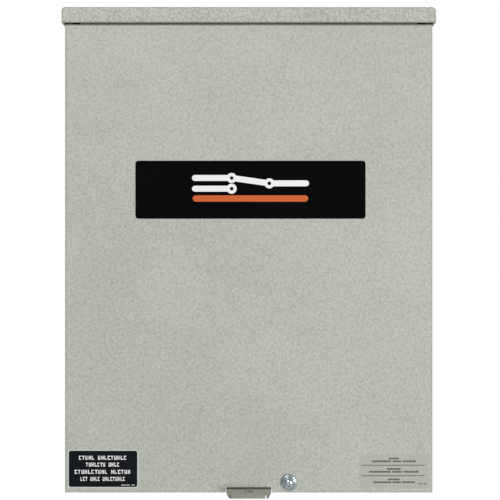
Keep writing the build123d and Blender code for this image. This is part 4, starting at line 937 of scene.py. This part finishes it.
washer = skin("captive_washer_dished", [turned(dish, (middle(washer_x), 0, middle(washer_z)),
                                               1, ROUND)],
              zinc, "screw_washer", loop=True)
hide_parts("captive_washer")
dress(zinc, "screw_retainer")

# ---- Floor, light and camera -----------------------------------------------------------
# The box hangs on a wall, so the floor is well below it. The main softbox stands in
# front on the right, slightly below the middle, so that it reaches under the cap's lip.
# A weak one above, one at the left side and one behind light the other faces.
floor_mesh = bpy.data.meshes.new("floor")
FLOOR_Z = -0.80
FLOOR_HALF = 1.6
corners = [(-1, -1), (1, -1), (1, 1), (-1, 1)]
floor_mesh.from_pydata([(x * FLOOR_HALF, y * FLOOR_HALF, FLOOR_Z) for x, y in corners], [],
                       [(0, 1, 2, 3)])
floor = bpy.data.objects.new("floor", floor_mesh)
bpy.context.scene.collection.objects.link(floor)
floor_paint, tree, shader, place = start("pale floor", Base_Color=linear("#E6E6E4"),
                                         Roughness=0.9)
floor_mesh.materials.append(floor_paint)


def softbox(name, at, size, watts):
    """A rectangular area light at a point, turned to face the box."""
    lamp = bpy.data.lights.new(name, "AREA")
    lamp.shape = "RECTANGLE"
    lamp.size, lamp.size_y = size
    lamp.energy = watts
    stand = bpy.data.objects.new(name, lamp)
    stand.location = at
    stand.rotation_euler = Vector(-np.array(at)).to_track_quat("-Z", "Y").to_euler()
    bpy.context.scene.collection.objects.link(stand)


softbox("right_softbox", (2.7, -5.8, -0.35), (1.9, 1.9), 166)
softbox("upper_softbox", (-0.6, -3.2, 1.35), (0.7, 0.8), 31)
softbox("left_softbox", (-2.4, 1.9, 0.5), (1.0, 1.2), 15)
softbox("rear_softbox", (0.9, 2.1, 1.5), (1.2, 1.0), 34)
world = bpy.data.worlds.new("studio")
bpy.context.scene.world = world
world.use_nodes = True
AMBIENT = 0.22
tree = world.node_tree
tree.nodes.clear()
path = add(tree, "ShaderNodeLightPath", {}, {})
level = add(tree, "ShaderNodeMapRange", {},
            {"Value": path.outputs["Is Camera Ray"], "To Min": AMBIENT, "To Max": 1.0})
sky = add(tree, "ShaderNodeBackground", {}, {"Color": (1, 1, 1, 1), "Strength": level.outputs[0]})
add(tree, "ShaderNodeOutputWorld", {}, {"Surface": sky.outputs[0]})

CAMERA_DISTANCE = 1.0
CAMERA_SIDE = 0.0013
FRAME_WIDTH = 0.50435
SENSOR = 36
cover_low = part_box("front_cover")[0]
lens = bpy.data.cameras.new("front view")
lens.sensor_width = SENSOR
lens.lens = SENSOR * CAMERA_DISTANCE / FRAME_WIDTH
camera = bpy.data.objects.new("front view", lens)
camera.location = (CAMERA_SIDE, cover_low.y - CAMERA_DISTANCE, 0.0)
camera.rotation_euler = (np.pi / 2, 0, 0)
bpy.context.scene.collection.objects.link(camera)
bpy.context.scene.camera = camera
bpy.context.scene.view_settings.view_transform = "Standard"
